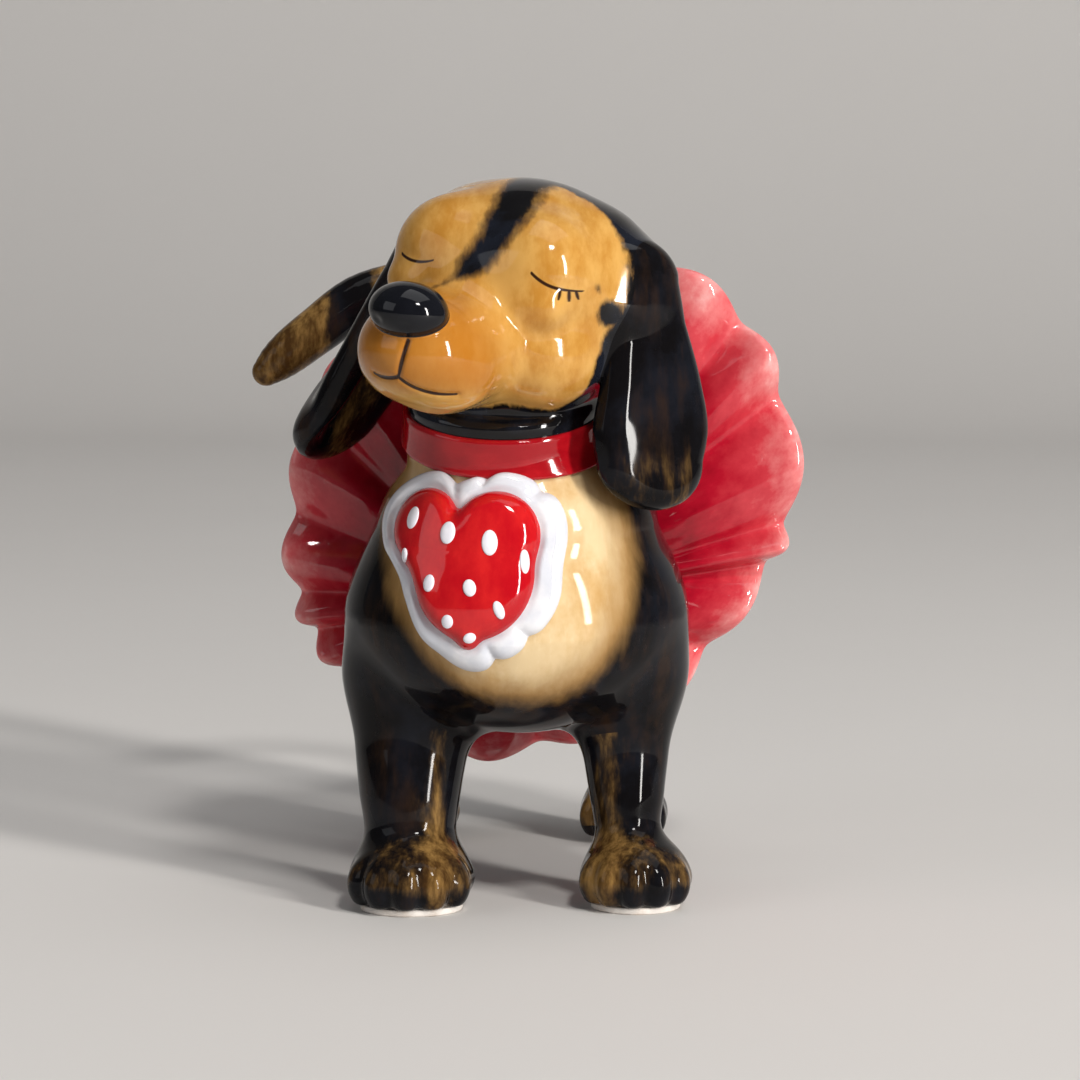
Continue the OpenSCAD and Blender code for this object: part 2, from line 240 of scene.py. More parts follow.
def sample(shape, low, step, blocks):
    """The field's values at every grid point near its surface."""
    size = BLOCK * step
    grid = np.stack(np.meshgrid(*[np.arange(n) for n in blocks], indexing="ij"), -1)
    centres = low + (grid + 0.5) * size
    middle = shape(centres.reshape(-1, 3)).reshape(blocks)
    near = np.abs(middle) < size * HALF_DIAGONAL * FIELD_MARGIN
    values = np.pad(per_point(middle), ((0, 1),) * 3, "edge")
    wanted = np.pad(per_point(near), ((0, 1),) * 3)
    for axis in range(3):
        wanted[on_axis(axis, slice(1, None))] |= wanted[on_axis(axis, slice(None, -1))].copy()
    at = np.argwhere(wanted)
    for part in np.array_split(np.arange(len(at)), max(1, len(at) // 200000)):
        i = at[part]
        values[i[:, 0], i[:, 1], i[:, 2]] = shape(low + i * step)
    return values


def nets(values):
    """One point per crossed cell and two triangles per crossed grid edge."""
    inside = values < 0
    cells = np.array(values.shape) - 1
    count = sum(inside[c[0]:c[0] + cells[0], c[1]:c[1] + cells[1], c[2]:c[2] + cells[2]].astype(np.int8)
                for c in CORNERS)
    active = np.argwhere((count > 0) & (count < 8))
    corner = np.stack([values[tuple((active + c).T)] for c in CORNERS], 1)
    total, crossings = np.zeros((len(active), 3)), np.zeros(len(active))
    for a, b in EDGES:
        va, vb = corner[:, a], corner[:, b]
        crossed = (va < 0) != (vb < 0)
        t = np.where(crossed, va / np.where(crossed, va - vb, 1), 0)
        total += crossed[:, None] * (CORNERS[a] + t[:, None] * (CORNERS[b] - CORNERS[a]))
        crossings += crossed
    points = active + total / crossings[:, None]
    number = np.full(cells, -1)
    number[tuple(active.T)] = np.arange(len(active))
    quads = []
    for axis in range(3):
        ahead = np.roll(inside, -1, axis)
        change = inside != ahead
        change[on_axis(axis, slice(-1, None))] = False
        at = np.argwhere(change)
        at = at[np.all((at > 0) | (np.arange(3) == axis), axis=1)]
        side_a, side_b = np.eye(3, dtype=int)[(axis + 1) % 3], np.eye(3, dtype=int)[(axis + 2) % 3]
        ring = [number[tuple((at - o).T)] for o in (0 * side_a, side_a, side_a + side_b, side_b)]
        quad = np.stack(ring, 1)
        outwards = inside[tuple(at.T)]
        quads.append(np.where(outwards[:, None], quad, quad[:, ::-1]))
    return points, np.concatenate(quads)


def relax(points, quads, share=0.5):
    """Evens out the spacing of the points."""
    centres = points[quads].mean(1)
    total, count = np.zeros_like(points), np.zeros(len(points))
    for k in range(4):
        for axis in range(3):
            total[:, axis] += np.bincount(quads[:, k], centres[:, axis], len(points))
        count += np.bincount(quads[:, k], minlength=len(points))
    return points + share * (total / np.maximum(count, 1)[:, None] - points)


class Clay:
    """A triangle mesh in millimetres with the field it was made from."""

    def __init__(self, shape, points, faces):
        self.shape, self.points, self.faces = shape, points, faces

    def normals(self):
        gradient = slope_of(self.shape, self.points)[1]
        return gradient / np.maximum(np.sqrt((gradient**2).sum(1)), 1e-9)[:, None]


def sculpt(shape, low, high, step):
    """Meshes a field inside a box."""
    low, high = np.array(low, float), np.array(high, float)
    blocks = tuple(int(n) for n in np.ceil((high - low) / (BLOCK * step)))
    points, quads = nets(sample(shape, low, step, blocks))
    points = low + points * step
    for _ in range(2):
        points = settle(shape, relax(points, quads), step)
    diagonal = [np.linalg.norm(points[quads[:, i]] - points[quads[:, i + 2]], axis=1) for i in (0, 1)]
    first = (diagonal[0] < diagonal[1])[:, None]
    faces = np.concatenate([
        np.where(first, quads[:, [0, 1, 2]], quads[:, [0, 1, 3]]),
        np.where(first, quads[:, [0, 2, 3]], quads[:, [1, 2, 3]]),
    ])
    return Clay(shape, points, faces)


# %% [markdown]
# ## Taking a piece off
#
# Legs, ears and tail are luted on and smoothed over, so no seam shows on the real dog.
# The blended form is meshed once and then parted along the line where the two pieces meet.
# Both sides get a cap, so that each piece is closed, and the glaze runs over the joint unbroken.

# %% Take a piece off


def part_off(clay, side):
    """Splits the clay where side(p) changes sign: (the part below zero, the rest)."""
    value = side(clay.points)
    taken = value[clay.faces].mean(1) < 0
    touched = [np.zeros(len(clay.points), bool) for _ in range(2)]
    touched[0][clay.faces[taken]] = True
    touched[1][clay.faces[~taken]] = True
    seam = np.flatnonzero(touched[0] & touched[1])
    for _ in range(3):
        p = clay.points[seam]
        normal = slope_of(clay.shape, p)[1]
        normal /= np.linalg.norm(normal, axis=1)[:, None]
        value, gradient = slope_of(side, p)
        gradient -= (gradient * normal).sum(1)[:, None] * normal
        move = np.clip(value / np.maximum((gradient**2).sum(1), 0.1), -0.25, 0.25)
        clay.points[seam] = settle(clay.shape, p - gradient * move[:, None], 0.3, 1)
    return capped(clay, clay.faces[taken]), capped(clay, clay.faces[~taken])


def capped(clay, faces):
    """The piece with these faces, with a fan over each open loop."""
    edges = np.concatenate([faces[:, [0, 1]], faces[:, [1, 2]], faces[:, [2, 0]]])
    key = edges[:, 0] * len(clay.points) + edges[:, 1]
    back = edges[:, 1] * len(clay.points) + edges[:, 0]
    rim = edges[~np.isin(key, back)]
    points, extra, caps = clay.points, [], []
    loop = np.arange(len(points))
    while len(rim):
        lowest = np.minimum(loop[rim[:, 0]], loop[rim[:, 1]])
        before = loop[rim].copy()
        np.minimum.at(loop, rim[:, 0], lowest)
        np.minimum.at(loop, rim[:, 1], lowest)
        if (loop[rim] == before).all():
            break
    for number in np.unique(loop[rim[:, 0]]) if len(rim) else ():
        ring = rim[loop[rim[:, 0]] == number]
        extra.append(points[ring[:, 0]].mean(0))
        centre = len(points) + len(extra) - 1
        caps.append(np.stack([ring[:, 1], ring[:, 0], np.full(len(ring), centre)], 1))
    if extra:
        points = np.concatenate([points, extra])
        faces = np.concatenate([faces] + caps)
    used, renumbered = np.unique(faces, return_inverse=True)
    return Clay(clay.shape, points[used], renumbered.reshape(faces.shape))


def piece(name, clay, material, slot, nodes, **values):
    """Makes the object, with its per-point values, and puts it in the place of its CAD nodes."""
    mesh = bpy.data.meshes.new(name)
    mesh.from_pydata(((clay.points + STAND) / 1000).tolist(), [], clay.faces.tolist())
    mesh.shade_smooth()
    mesh.normals_split_custom_set_from_vertices(clay.normals().tolist())
    for key, value in values.items():
        attribute = mesh.attributes.new(key, "FLOAT", "POINT")
        attribute.data.foreach_set("value", value.astype(np.float32))
    mesh.materials.append(material)
    return placed(bpy.data.objects.new(name, mesh), nodes)


def placed(thing, nodes):
    if not thing.users_collection:
        bpy.context.scene.collection.objects.link(thing)
    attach(thing, "root")
    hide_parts(*nodes)
    print(f"{thing.name}: {len(thing.data.polygons)} faces")
    return thing


# %% [markdown]
# ## Wiring nodes like sums
#
# Both the paint and the tutu are formulas. A small class lets a formula be written as a sum in
# the script, and each operation becomes one Math node in the tree that it belongs to.

# %% Node helpers


class Wire:
    """A number or a colour that flows through a node tree."""

    def __init__(self, tree, socket):
        self.tree, self.socket = tree, socket

    def maths(self, operation, *others):
        return maths(self.tree, operation, self, *others)

    def __add__(self, other):
        return self.maths("ADD", other)

    def __radd__(self, other):
        return maths(self.tree, "ADD", other, self)

    def __sub__(self, other):
        return self.maths("SUBTRACT", other)

    def __rsub__(self, other):
        return maths(self.tree, "SUBTRACT", other, self)

    def __mul__(self, other):
        return self.maths("MULTIPLY", other)

    def __rmul__(self, other):
        return maths(self.tree, "MULTIPLY", other, self)

    def __truediv__(self, other):
        return self.maths("DIVIDE", other)

    def __rtruediv__(self, other):
        return maths(self.tree, "DIVIDE", other, self)


def put(tree, socket, value):
    if isinstance(value, Wire):
        tree.links.new(value.socket, socket)
    elif value is not None:
        socket.default_value = value


def maths(tree, operation, *values):
    node = tree.nodes.new("ShaderNodeMath")
    node.operation = operation
    for socket, value in zip(node.inputs, values):
        put(tree, socket, value)
    return Wire(tree, node.outputs[0])


def add_node(tree, kind, settings=None, **inputs):
    """A node with its settings and its inputs, which are named with _ for a space."""
    node = tree.nodes.new(kind)
    for key, value in (settings or {}).items():
        setattr(node, key, value)
    for key, value in inputs.items():
        put(tree, node.inputs[key.replace("_", " ")], value)
    return node


def out(node, name=0):
    return Wire(node.id_data, node.outputs[name])


def soft_step(x, start, end):
    """0 where x is below start, 1 above end."""
    node = add_node(x.tree, "ShaderNodeMapRange", {"interpolation_type": "SMOOTHSTEP"},
                    Value=x, From_Min=start, From_Max=end)
    return out(node)


def blend(tree, share, a, b):
    """Colour a where share is 0 and colour b where it is 1."""
    node = tree.nodes.new("ShaderNodeMix")
    node.data_type = "RGBA"
    put(tree, node.inputs[0], share)
    put(tree, node.inputs[6], a)
    put(tree, node.inputs[7], b)
    return Wire(tree, node.outputs[2])


def start_group(name, kind, inputs, outputs):
    """A new node group with named sockets: (tree, {input name: wire}, its output node)."""
    tree = bpy.data.node_groups.new(name, kind)
    for label, socket, default in inputs:
        made = tree.interface.new_socket(label, in_out="INPUT", socket_type="NodeSocket" + socket)
        if default is not None:
            made.default_value = default
    for label, socket in outputs:
        tree.interface.new_socket(label, in_out="OUTPUT", socket_type="NodeSocket" + socket)
    entry = tree.nodes.new("NodeGroupInput")
    wires = {label: Wire(tree, entry.outputs[label]) for label, _, _ in inputs}
    return tree, wires, tree.nodes.new("NodeGroupOutput")


# %% [markdown]
# ## Paint that several finishes share
#
# Three groups carry the hand of the painter: brush marks that run along a stroke, a ragged edge
# where one colour meets another, and the slow ripple of the gloss glaze with a few pinholes.
# Each group gives only masks, colours or heights, so the shaders stay in the materials.

# %% Brush marks
marks_group, wires, output = start_group(
    "brush_marks", "ShaderNodeTree",
    [("Place", "Vector", None), ("Stroke", "Vector", (1, 1, 1)), ("Size", "Float", 3.0)],
    [("Marks", "Float")])
scaled = add_node(marks_group, "ShaderNodeVectorMath", {"operation": "MULTIPLY"})
put(marks_group, scaled.inputs[0], wires["Place"])
put(marks_group, scaled.inputs[1], wires["Stroke"])
noise = add_node(marks_group, "ShaderNodeTexNoise", Vector=out(scaled),
                 Scale=1000 / wires["Size"], Detail=5.0, Roughness=0.6)
put(marks_group, output.inputs["Marks"], out(noise))


def marks(tree, place, stroke, size):
    node = add_node(tree, "ShaderNodeGroup", {"node_tree": marks_group},
                    Place=place, Stroke=stroke, Size=size)
    return out(node)


# %% Ragged edge of a painted area
edge_group, wires, output = start_group(
    "painted_edge", "ShaderNodeTree",
    [("Depth", "Float", 0.0), ("Marks", "Float", 0.5), ("Ragged", "Float", 1.0), ("Soft", "Float", 1.0)],
    [("Mask", "Float")])
ragged = wires["Depth"] + (wires["Marks"] - 0.5) * 4 * wires["Ragged"]
put(edge_group, output.inputs["Mask"], soft_step(ragged / wires["Soft"], -0.5, 0.5))


def painted(tree, depth, brush, ragged, soft):
    """A mask that is 1 where depth, in millimetres inside the area's edge, is positive."""
    node = add_node(tree, "ShaderNodeGroup", {"node_tree": edge_group},
                    Depth=depth, Marks=brush, Ragged=ragged, Soft=soft)
    return out(node)


# %% Glaze
glaze_group, wires, output = start_group(
    "gloss_glaze", "ShaderNodeTree",
    [("Place", "Vector", None), ("Ripple", "Float", 9.0), ("Speck", "Float", 0.02)],
    [("Height", "Float"), ("Roughness", "Float"), ("Pinhole", "Float")])
ripple = add_node(glaze_group, "ShaderNodeTexNoise", Vector=wires["Place"],
                  Scale=1000 / wires["Ripple"], Detail=1.0)
specks = add_node(glaze_group, "ShaderNodeTexVoronoi", Vector=wires["Place"], Scale=260.0)
near_speck = 1 - soft_step(out(specks), 0.03, 0.09)
chance = add_node(glaze_group, "ShaderNodeTexNoise", Vector=wires["Place"], Scale=90.0)
pinhole = near_speck * soft_step(out(chance), 0.62, 0.66)
haze = add_node(glaze_group, "ShaderNodeTexNoise", Vector=wires["Place"], Scale=120.0, Detail=3.0)
put(glaze_group, output.inputs["Height"], out(ripple) - pinhole * wires["Speck"])
put(glaze_group, output.inputs["Roughness"], soft_step(out(haze), 0.35, 0.8) * 0.07 + 0.045)
put(glaze_group, output.inputs["Pinhole"], pinhole)


# %% A glazed finish around any paint


def start_material(name):
    material = bpy.data.materials.new(name)
    material.use_nodes = True
    tree = material.node_tree
    tree.nodes.clear()
    place = Wire(tree, tree.nodes.new("ShaderNodeTexCoord").outputs["Object"])
    return material, tree, place


def value_of(tree, name, kind="Fac"):
    """A per-point value of the piece."""
    return out(add_node(tree, "ShaderNodeAttribute", {"attribute_name": name}), kind)


def show(tree, shader):
    """Makes this shader the surface of the material."""
    end = tree.nodes.new("ShaderNodeOutputMaterial")
    tree.links.new(shader.outputs[0], end.inputs["Surface"])


def glazed(tree, place, colour, ripple=9.0, bump=0.12, shine=0.45):
    """Puts the gloss glaze over a painted colour."""
    glaze = add_node(tree, "ShaderNodeGroup", {"node_tree": glaze_group}, Place=place, Ripple=ripple)
    relief = add_node(tree, "ShaderNodeBump", Distance=0.001, Strength=bump,
                      Height=out(glaze, "Height"))
    shader = add_node(tree, "ShaderNodeBsdfPrincipled", Base_Color=colour, IOR=1.52,
                      Roughness=out(glaze, "Roughness"), Normal=out(relief))
    shader.inputs["Specular IOR Level"].default_value = shine
    show(tree, shader)


print("shared paint groups:", [g.name for g in bpy.data.node_groups])

# %% [markdown]
# ## The painted coat
#
# Torso, ears, legs and tail share one finish: black slip, rubbed back with a dry brush of gold
# brown, and a cream chest. Two per-point values say where: `cream` is the depth inside the chest
# patch in millimetres, and `gold` is how much of the gold brush shows, from 0 to 1.

# %% Coat
coat, tree, place = start_material("painted_coat")
long_marks = marks(tree, place, (1.0, 1.0, 0.22), 5.0)
fine_marks = marks(tree, place, (1.0, 1.0, 0.3), 1.4)
cloud = marks(tree, place, (1, 1, 1), 16.0)
black = blend(tree, soft_step(cloud, 0.4, 0.65), (0.004, 0.0035, 0.004, 1), (0.008, 0.009, 0.013, 1))
brown = soft_step(long_marks * 0.6 + cloud * 0.4, 0.47, 0.68) * 0.6
dark = blend(tree, brown, black, (0.036, 0.017, 0.007, 1))
amount = value_of(tree, "gold")
brushed = long_marks * 0.6 + fine_marks * 0.2 + cloud * 0.2
cover = soft_step(brushed + amount * 0.45, 0.6, 0.95) * soft_step(amount, 0.02, 0.35)
gold = blend(tree, soft_step(fine_marks * 0.3 + long_marks * 0.4 + cloud * 0.3, 0.4, 0.66),
             (0.06, 0.028, 0.008, 1), (0.35, 0.2, 0.062, 1))
fur = blend(tree, cover, dark, gold)
warm = marks(tree, place, (1.0, 1.0, 0.7), 14.0)
cream = blend(tree, soft_step(warm, 0.38, 0.66), (0.72, 0.55, 0.32, 1), (0.56, 0.34, 0.13, 1))
cream = blend(tree, soft_step(fine_marks, 0.5, 0.85) * 0.35, cream, (0.83, 0.7, 0.48, 1))
patch = painted(tree, value_of(tree, "cream"), long_marks, 0.9, 4.6)
rim = painted(tree, value_of(tree, "cream") - 4.0, long_marks, 1.4, 8.0)
cream = blend(tree, rim, (0.34, 0.19, 0.065, 1), cream)
glazed(tree, place, blend(tree, patch, fur, cream), ripple=11.0, shine=0.13)
print("coat has", len(tree.nodes), "nodes")

# %% [markdown]
# ## The body
#
# The torso runs back from a broad chest to the rump. Upper chest, shoulders and neck swell out of
# it, and each leg is a tapering shaft over a paw. The five toes of a paw are long lumps set round
# an arc, close enough to leave a groove between them where dark glaze would pool.

# %% Torso form
CHEST = (0, -3, 60.5)
TORSO_ROWS = [  # [along, across, up, half width, half height]
    [-3, 0, 60.5, 34.2, 24.4], [20, 0, 65, 30.4, 25.4], [39.8, 0, 67, 27.4, 24.4],
    [54, 0, 67.5, 27.4, 24.4], [66, 0, 68, 28.4, 24.4], [72, 0, 69.2, 26, 22.4],
]
NECK_RADIUS = 19.9


def only_in(p, low, high, shape, room=9.0):
    """Measures a shape only near its own box, which is where it can matter."""
    close = ((p > np.array(low) - room) & (p < np.array(high) + room)).all(1)
    value = np.full(len(p), 40.0)
    if close.any():
        value[close] = shape(p[close])
    return value


def neck_band(p):
    """The plain round neck inside the collar."""
    q = COLLAR.into(p)
    return meet(np.hypot(q[:, 0], q[:, 1]) - NECK_RADIUS, np.abs(q[:, 2]) - 7, 2)


def torso_form(p):
    body = bar(p, 1, TORSO_ROWS, 31, 21)
    bust = swell(p, (0, -5, 78.5), (28, 25, 16.5), CHEST, (33.5, 30.5, 24))
    nape = swell(p, (0, -5, 80), (27, 24, 15), COLLAR.out(np.array([0, 0, -4.0])), (18.6, 18.6, 8))
    shoulders = [swell(p, (22 * s, -4, 48.5), (13, 12.5, 13.5), (12 * s, 2, 60), (18, 21, 18))
                 for s in (-1, 1)]
    form = join_all([join(body, bust, 6), nape] + shoulders, 5)
    return join(form, neck_band(p), 3)


# %% Leg and paw forms
LEGS = {
    "front_left": {"half": 8.0, "paw": 12.2, "reach": 6, "shift": 2.0},
    "front_right": {"half": 10.7, "paw": 13.5, "reach": 7, "shift": 0.7},
    "hind_left": {"half": 7.5, "paw": 10.5, "reach": 5, "shift": 0.5},
    "hind_right": {"half": 7.5, "paw": 10.5, "reach": 5, "shift": -0.5},
}
TOE_TURNS = (-66, -34, -3, 28, 60)


def paw_form(p, at, half):
    pad = ellipsoid(p, at + (0, 1.2, 6.0), (half - 0.7, half - 1.6, 7.0))
    knuckles = ellipsoid(p, at + (0, 0.5, 9.0), (half - 3.2, half - 2.0, 6.0))
    toes = []
    for turn in TOE_TURNS:
        toe = Place(at + (0, 0, 5.6), turn=turn)
        toes.append(ellipsoid(toe.into(p), (0, -(half - 4.9), 0), (half * 0.3, 5.0, 5.4)))
    return join(join(pad, knuckles, 3), join_all(toes, 1.1), 2.0)


def leg_form(p, name):
    leg = LEGS[name]
    at, half = paw_at[name] * (1, 1, 0), leg["half"]
    x, y = at[0] - leg["shift"], at[1] + leg["reach"]
    hind = name.startswith("hind")
    top, knee = (0.8, 0.93) if hind else (0.95, 0.985)
    rows = [
        [8, x + leg["shift"] * 0.6, y - 2.5, half + 0.2, half + 0.6],
        [14, x + leg["shift"] * 0.2, y - 1.2, half - 1.2, half - 0.4],
        [23, x, y + 0.4, half - 0.2, half], [33, x * knee, y + 3.2, half + 1.2, half + 0.9],
        [45, x * top, y + 6.8, half + 2.4, half + 1.6],
    ]
    shaft = bar(p, 2, rows, 4, 10)
    if hind:
        side = math.copysign(1, x)
        thigh = swell(p, (15 * side, 64.5, 60), (13.4, 17.8, 18.5),
                      (x * 0.94, y - 1, 35), (9.4, 10.5, 9))
        shaft = join(shaft, thigh, 7)
    form = join(shaft, only_in(p, at - (14, 16, 2), at + (14, 14, 16),
                               lambda q: paw_form(q, at, leg["paw"])), 3.5)
    return meet(form, 1.2 - p[:, 2], 1.0)


LEG_BOXES = {name: (paw_at[name] + (-24, -14, 0), paw_at[name] + (24, 28, 78)) for name in LEGS}


def leg_near(p, name):
    return only_in(p, *LEG_BOXES[name], lambda q: leg_form(q, name))


# %% Tail form
TAIL_ROWS = [  # [share along, across, along, up, radius]
    [0.0, 0, 80, 79, 7.8], [0.13, -3, 94, 98.8, 6.9], [0.28, -11.2, 99, 115.3, 6.5],
    [0.44, -24.8, 97, 123, 6.1], [0.6, -38.4, 93, 121.4, 5.8], [0.77, -49.6, 89, 113.7, 5.5],
    [0.93, -58, 87.3, 107, 4.6], [1.0, -61, 86.6, 104.4, 3.3],
]
TAIL_LINE = follow(np.linspace(0, 1, 33), TAIL_ROWS)


def tail_form(p):
    value = np.full(len(p), 1e3)
    for a, b in zip(TAIL_LINE[:-1], TAIL_LINE[1:]):
        along = b[:3] - a[:3]
        t = np.clip((p - a[:3]) @ along / (along @ along), 0, 1)
        reach = np.sqrt(((p - a[:3] - t[:, None] * along) ** 2).sum(1))
        value = np.minimum(value, reach - a[3] - t * (b[3] - a[3]))
    return value


def tail_near(p):
    return only_in(p, (-66, 70, 68), (10, 108, 132), tail_form)


# %% The body in one piece of clay
VENT_AT = np.array([0, 39.8, 42.0])
VENT_RADIUS, VENT_HALF_DEPTH = 3.5, 9


def body_form(p):
    form = torso_form(p)
    for name in LEGS:
        form = join(form, leg_near(p, name), 7 if name.startswith("front") else 9)
    bore = np.hypot(p[:, 0], p[:, 1] - VENT_AT[1]) - VENT_RADIUS
    hole = meet(bore, np.abs(p[:, 2] - VENT_AT[2]) - VENT_HALF_DEPTH, 0.5)
    form = meet(form, -hole, 0.8)
    form = meet(form, COLLAR.into(p)[:, 2], 0.4)
    return join(form, tail_near(p), 6)


body = sculpt(body_form, (-66, -44, 0), (40, 108, 132), 0.78)
print("body clay:", len(body.faces), "triangles")
tail_clay, body = part_off(body, lambda p: tail_near(p) - torso_form(p))
leg_clay = {}
for name in LEGS:
    leg_clay[name], body = part_off(body, lambda p: leg_near(p, name) - torso_form(p))

# %% Where the brush went on the body


def chest_patch(p):
    """Depth inside the cream patch on the chest, in millimetres."""
    behind = p[:, 1] - 12 + 0.7 * np.maximum(p[:, 2] - 70, 0)
    facing = -3 * np.maximum(behind, 0)
    level = p * (1, 0, 1)
    level[:, 0] -= 0.12 * (74 - p[:, 2])
    patch = ellipsoid(level, (-1, 0, 73.7), (25, 60, 29.7))
    return -patch + facing


def leg_gold(p, name):
    """The front of a leg and the tops of the toes are rubbed back to gold."""
    x, y = paw_at[name][:2]
    inner = -np.sign(x) * (p[:, 0] - x)
    front = fade(-(p[:, 1] - y - 6), -2, 9)
    stripe = np.exp(-((inner - 6) / 3.5) ** 2) * fade(p[:, 2], 44, 30)
    paw = fade(p[:, 2], 17, 13) * fade(p[:, 2], 3.5, 7)
    return np.clip(front * (0.62 * stripe + 0.42 * paw) + 0.06, 0, 1)


def tail_gold(p):
    """A gold spot, a black band and an olive tip."""
    x = p[:, 0]
    tip = fade(x, -45, -50)
    spot = np.exp(-((x + 33) / 4) ** 2) * fade(p[:, 2], 117, 121)
    return np.clip(tip * 1.5 + 0.9 * spot + 0.03, 0, 1.3)


piece("torso_clay", body, coat, "painted_coat", ["torso"], cream=chest_patch(body.points),
      gold=np.full(len(body.points), 0.03))
for name, clay in leg_clay.items():
    piece(name + "_leg_clay", clay, coat, "painted_coat", [name + "_leg"],
          cream=chest_patch(clay.points), gold=leg_gold(clay.points, name))
piece("tail_clay", tail_clay, coat, "painted_coat", ["tail"],
      cream=np.full(len(tail_clay.points), -50.0), gold=tail_gold(tail_clay.points))

# %% [markdown]
# ## The head
#
# The head is one more soft form: skull, brows, cheeks, muzzle, upper lips and jaw. The ears are
# broad flaps that hang from the sides. A flap is a rounded outline with a little thickness,
# draped along a curve, with one long fold that runs down it like a real dachshund's ear.

# %% Head form
MUZZLE_ROWS = [  # [along, across, up, half width, half height]
    [-35, 0, -8, 13.1, 10.6], [-25, 0, -7.6, 13.6, 11.4], [-14, 0, -7, 14.5, 12.6],
]


def face_form(p):
    q = HEAD.into(p)
    skull = ellipsoid(q, (0, 1, 0.8), (25.7, 25.7, 22.4))
    muzzle = bar(q, 1, MUZZLE_ROWS, 13.2, 15)
    jaw = swell(q, (0, -29, -15), (8.2, 9.2, 6.2), (0, -6, -9), (12.7, 13.7, 9.7))
    form = join(skull, muzzle, 6)
    for s in (-1, 1):
        brow = swell(q, (9.9 * s, -11, 7), (12.2, 11.7, 12.2), (5 * s, 0, 3), (17.7, 19.7, 16.7))
        cheek = swell(q, (11.4 * s, -8, -9), (12.6, 14.6, 11), (6 * s, 2, -2), (17.6, 19.6, 15.6))
        lip = swell(q, (5.4 * s, -33, -11), (8.2, 8.8, 7.7), (0, -14, -7), (11.7, 11.7, 10.7))
        lid = ellipsoid(q, (13.2 * s, -18.6, 1.6), (6.6, 4.6, 4.6))
        form = join(join(form, brow, 3), join(cheek, lip, 3), 3.5)
        form = join(form, lid, 3)
        root = swell(q, (14 * s, 4, 9), (9, 12, 9), (22.3 * s + 0.9, 8, 1), (4.8, 9, 15))
        form = join(form, root, 6)
    return join(form, jaw, 2.5)


def throat_form(p):
    throat = swell(p, COLLAR.at, (18.6, 18.6, 8),
                   HEAD.out(np.array([2.5, 3, -6.0])), (23.5, 18.6, 11))
    return join(throat, neck_band(p), 2)


def head_form(p):
    return join(face_form(p), throat_form(p), 3)


# %% Ear form
EAR_ROWS = [  # [share of the length, step back, half width]
    [0.02, 0, 7.0], [0.2, 0.6, 9.6], [0.45, 1.6, 12.4], [0.68, 1.5, 14], [0.8, 0.8, 12.8],
]
EARS = {"left_ear": (LEFT_EAR, 1, 46.2), "right_ear": (RIGHT_EAR, -1, 56.0)}  # place, side, length
EAR_FOLDS = {"left_ear": (0.1, 0.014), "right_ear": (1, 0.008)}  # depth of the fold, bend of the flap


def ear_form(p, name):
    place, side, length = EARS[name]
    q = place.into(p)
    share = -q[:, 2] / length
    held = np.clip(share, EAR_ROWS[0][0], EAR_ROWS[-1][0])
    back, half = follow(held, EAR_ROWS).T
    across, beyond = q[:, 1] - back, (share - held) * length
    end = np.where(beyond < 0, 7.0, 0.2 * length)
    k0 = np.hypot(across / half, beyond / end)
    k1 = np.hypot(across / half**2, beyond / end**2)
    outline = k0 * (k0 - 1) / np.maximum(k1, 1e-9)
    ridge = across - (8 - 22 * (share - 0.15))
    fold = 2.0 * np.exp(-(ridge / 4.6) ** 2) - 1.4 * np.exp(-((ridge + 7) / 5) ** 2)
    depth, bend = EAR_FOLDS[name]
    folded = depth * fold * fade(share, 0.08, 0.35) * fade(share, 1.0, 0.7)
    drape = side * (folded - bend * across**2 + 0.6)
    thick = 3.4 - 0.7 * fade(share, 0.7, 0.1)
    return meet(outline, np.abs(q[:, 0] - drape) - thick, 4.5)


EAR_BOXES = {name: [np.array(c) * 1000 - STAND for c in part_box(name)] for name in EARS}


def ear_near(p, name):
    return only_in(p, *EAR_BOXES[name], lambda q: ear_form(q, name))


# %% Nose and mouth
NOSE_AT = (0, -43, 0.4)


def nose_form(p):
    q = HEAD.into(p)
    form = ellipsoid(q, NOSE_AT, (8, 7, 5.6))
    for s in (-1, 1):
        form = meet(form, -ellipsoid(q, (3.6 * s, -50.2, -1.6), (1.5, 1.4, 0.9)), 1.0)
    return form


def strokes_near(across, up, lines):
    """Distance to painted lines. A line is [start, end, sag], with places as (across, up)."""
    nearest = np.full(len(across), 99.0)
    for (x0, z0), (x1, z1), sag in lines:
        dx, dz = x1 - x0, z1 - z0
        size = math.hypot(dx, dz)
        t = ((across - x0) * dx + (up - z0) * dz) / size**2
        off = ((across - x0) * dz - (up - z0) * dx) / size - sag * 4 * t * (1 - t)
        past = np.maximum(np.maximum(-t, t - 1), 0) * size
        nearest = np.minimum(nearest, np.hypot(off, past))
    return nearest


MOUTH_LINES = [  # [start, end, sag], each place as (across, up)
    ((2.9, -4.5), (1.7, -11.8), -0.3), ((1.7, -11.8), (10.5, -14.2), 1.1),
    ((1.7, -11.8), (-4.5, -12.4), -0.5),
]


def head_and_ears(p):
    form = head_form(p)
    q = HEAD.into(p)
    groove = np.exp(-(strokes_near(q[:, 0], q[:, 2], MOUTH_LINES) / 0.6) ** 2)
    form = form + 0.45 * groove * (q[:, 1] < -28)
    form = join(form, nose_form(p), 0.7)
    form = meet(form, -COLLAR.into(p)[:, 2], 0.4)
    for name in EARS:
        place, _, length = EARS[name]
        share = -place.into(p)[:, 2] / length
        form = join(form, ear_near(p, name), 0.8 + 5 * fade(share, 0.4, 0.1))
    return form


def around(*nodes, room=3):
    """The box of some CAD nodes in the dog's frame."""
    corners = np.array([[list(c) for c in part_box(n)] for n in nodes]) * 1000 - STAND
    return corners[:, 0].min(0) - room, corners[:, 1].max(0) + room


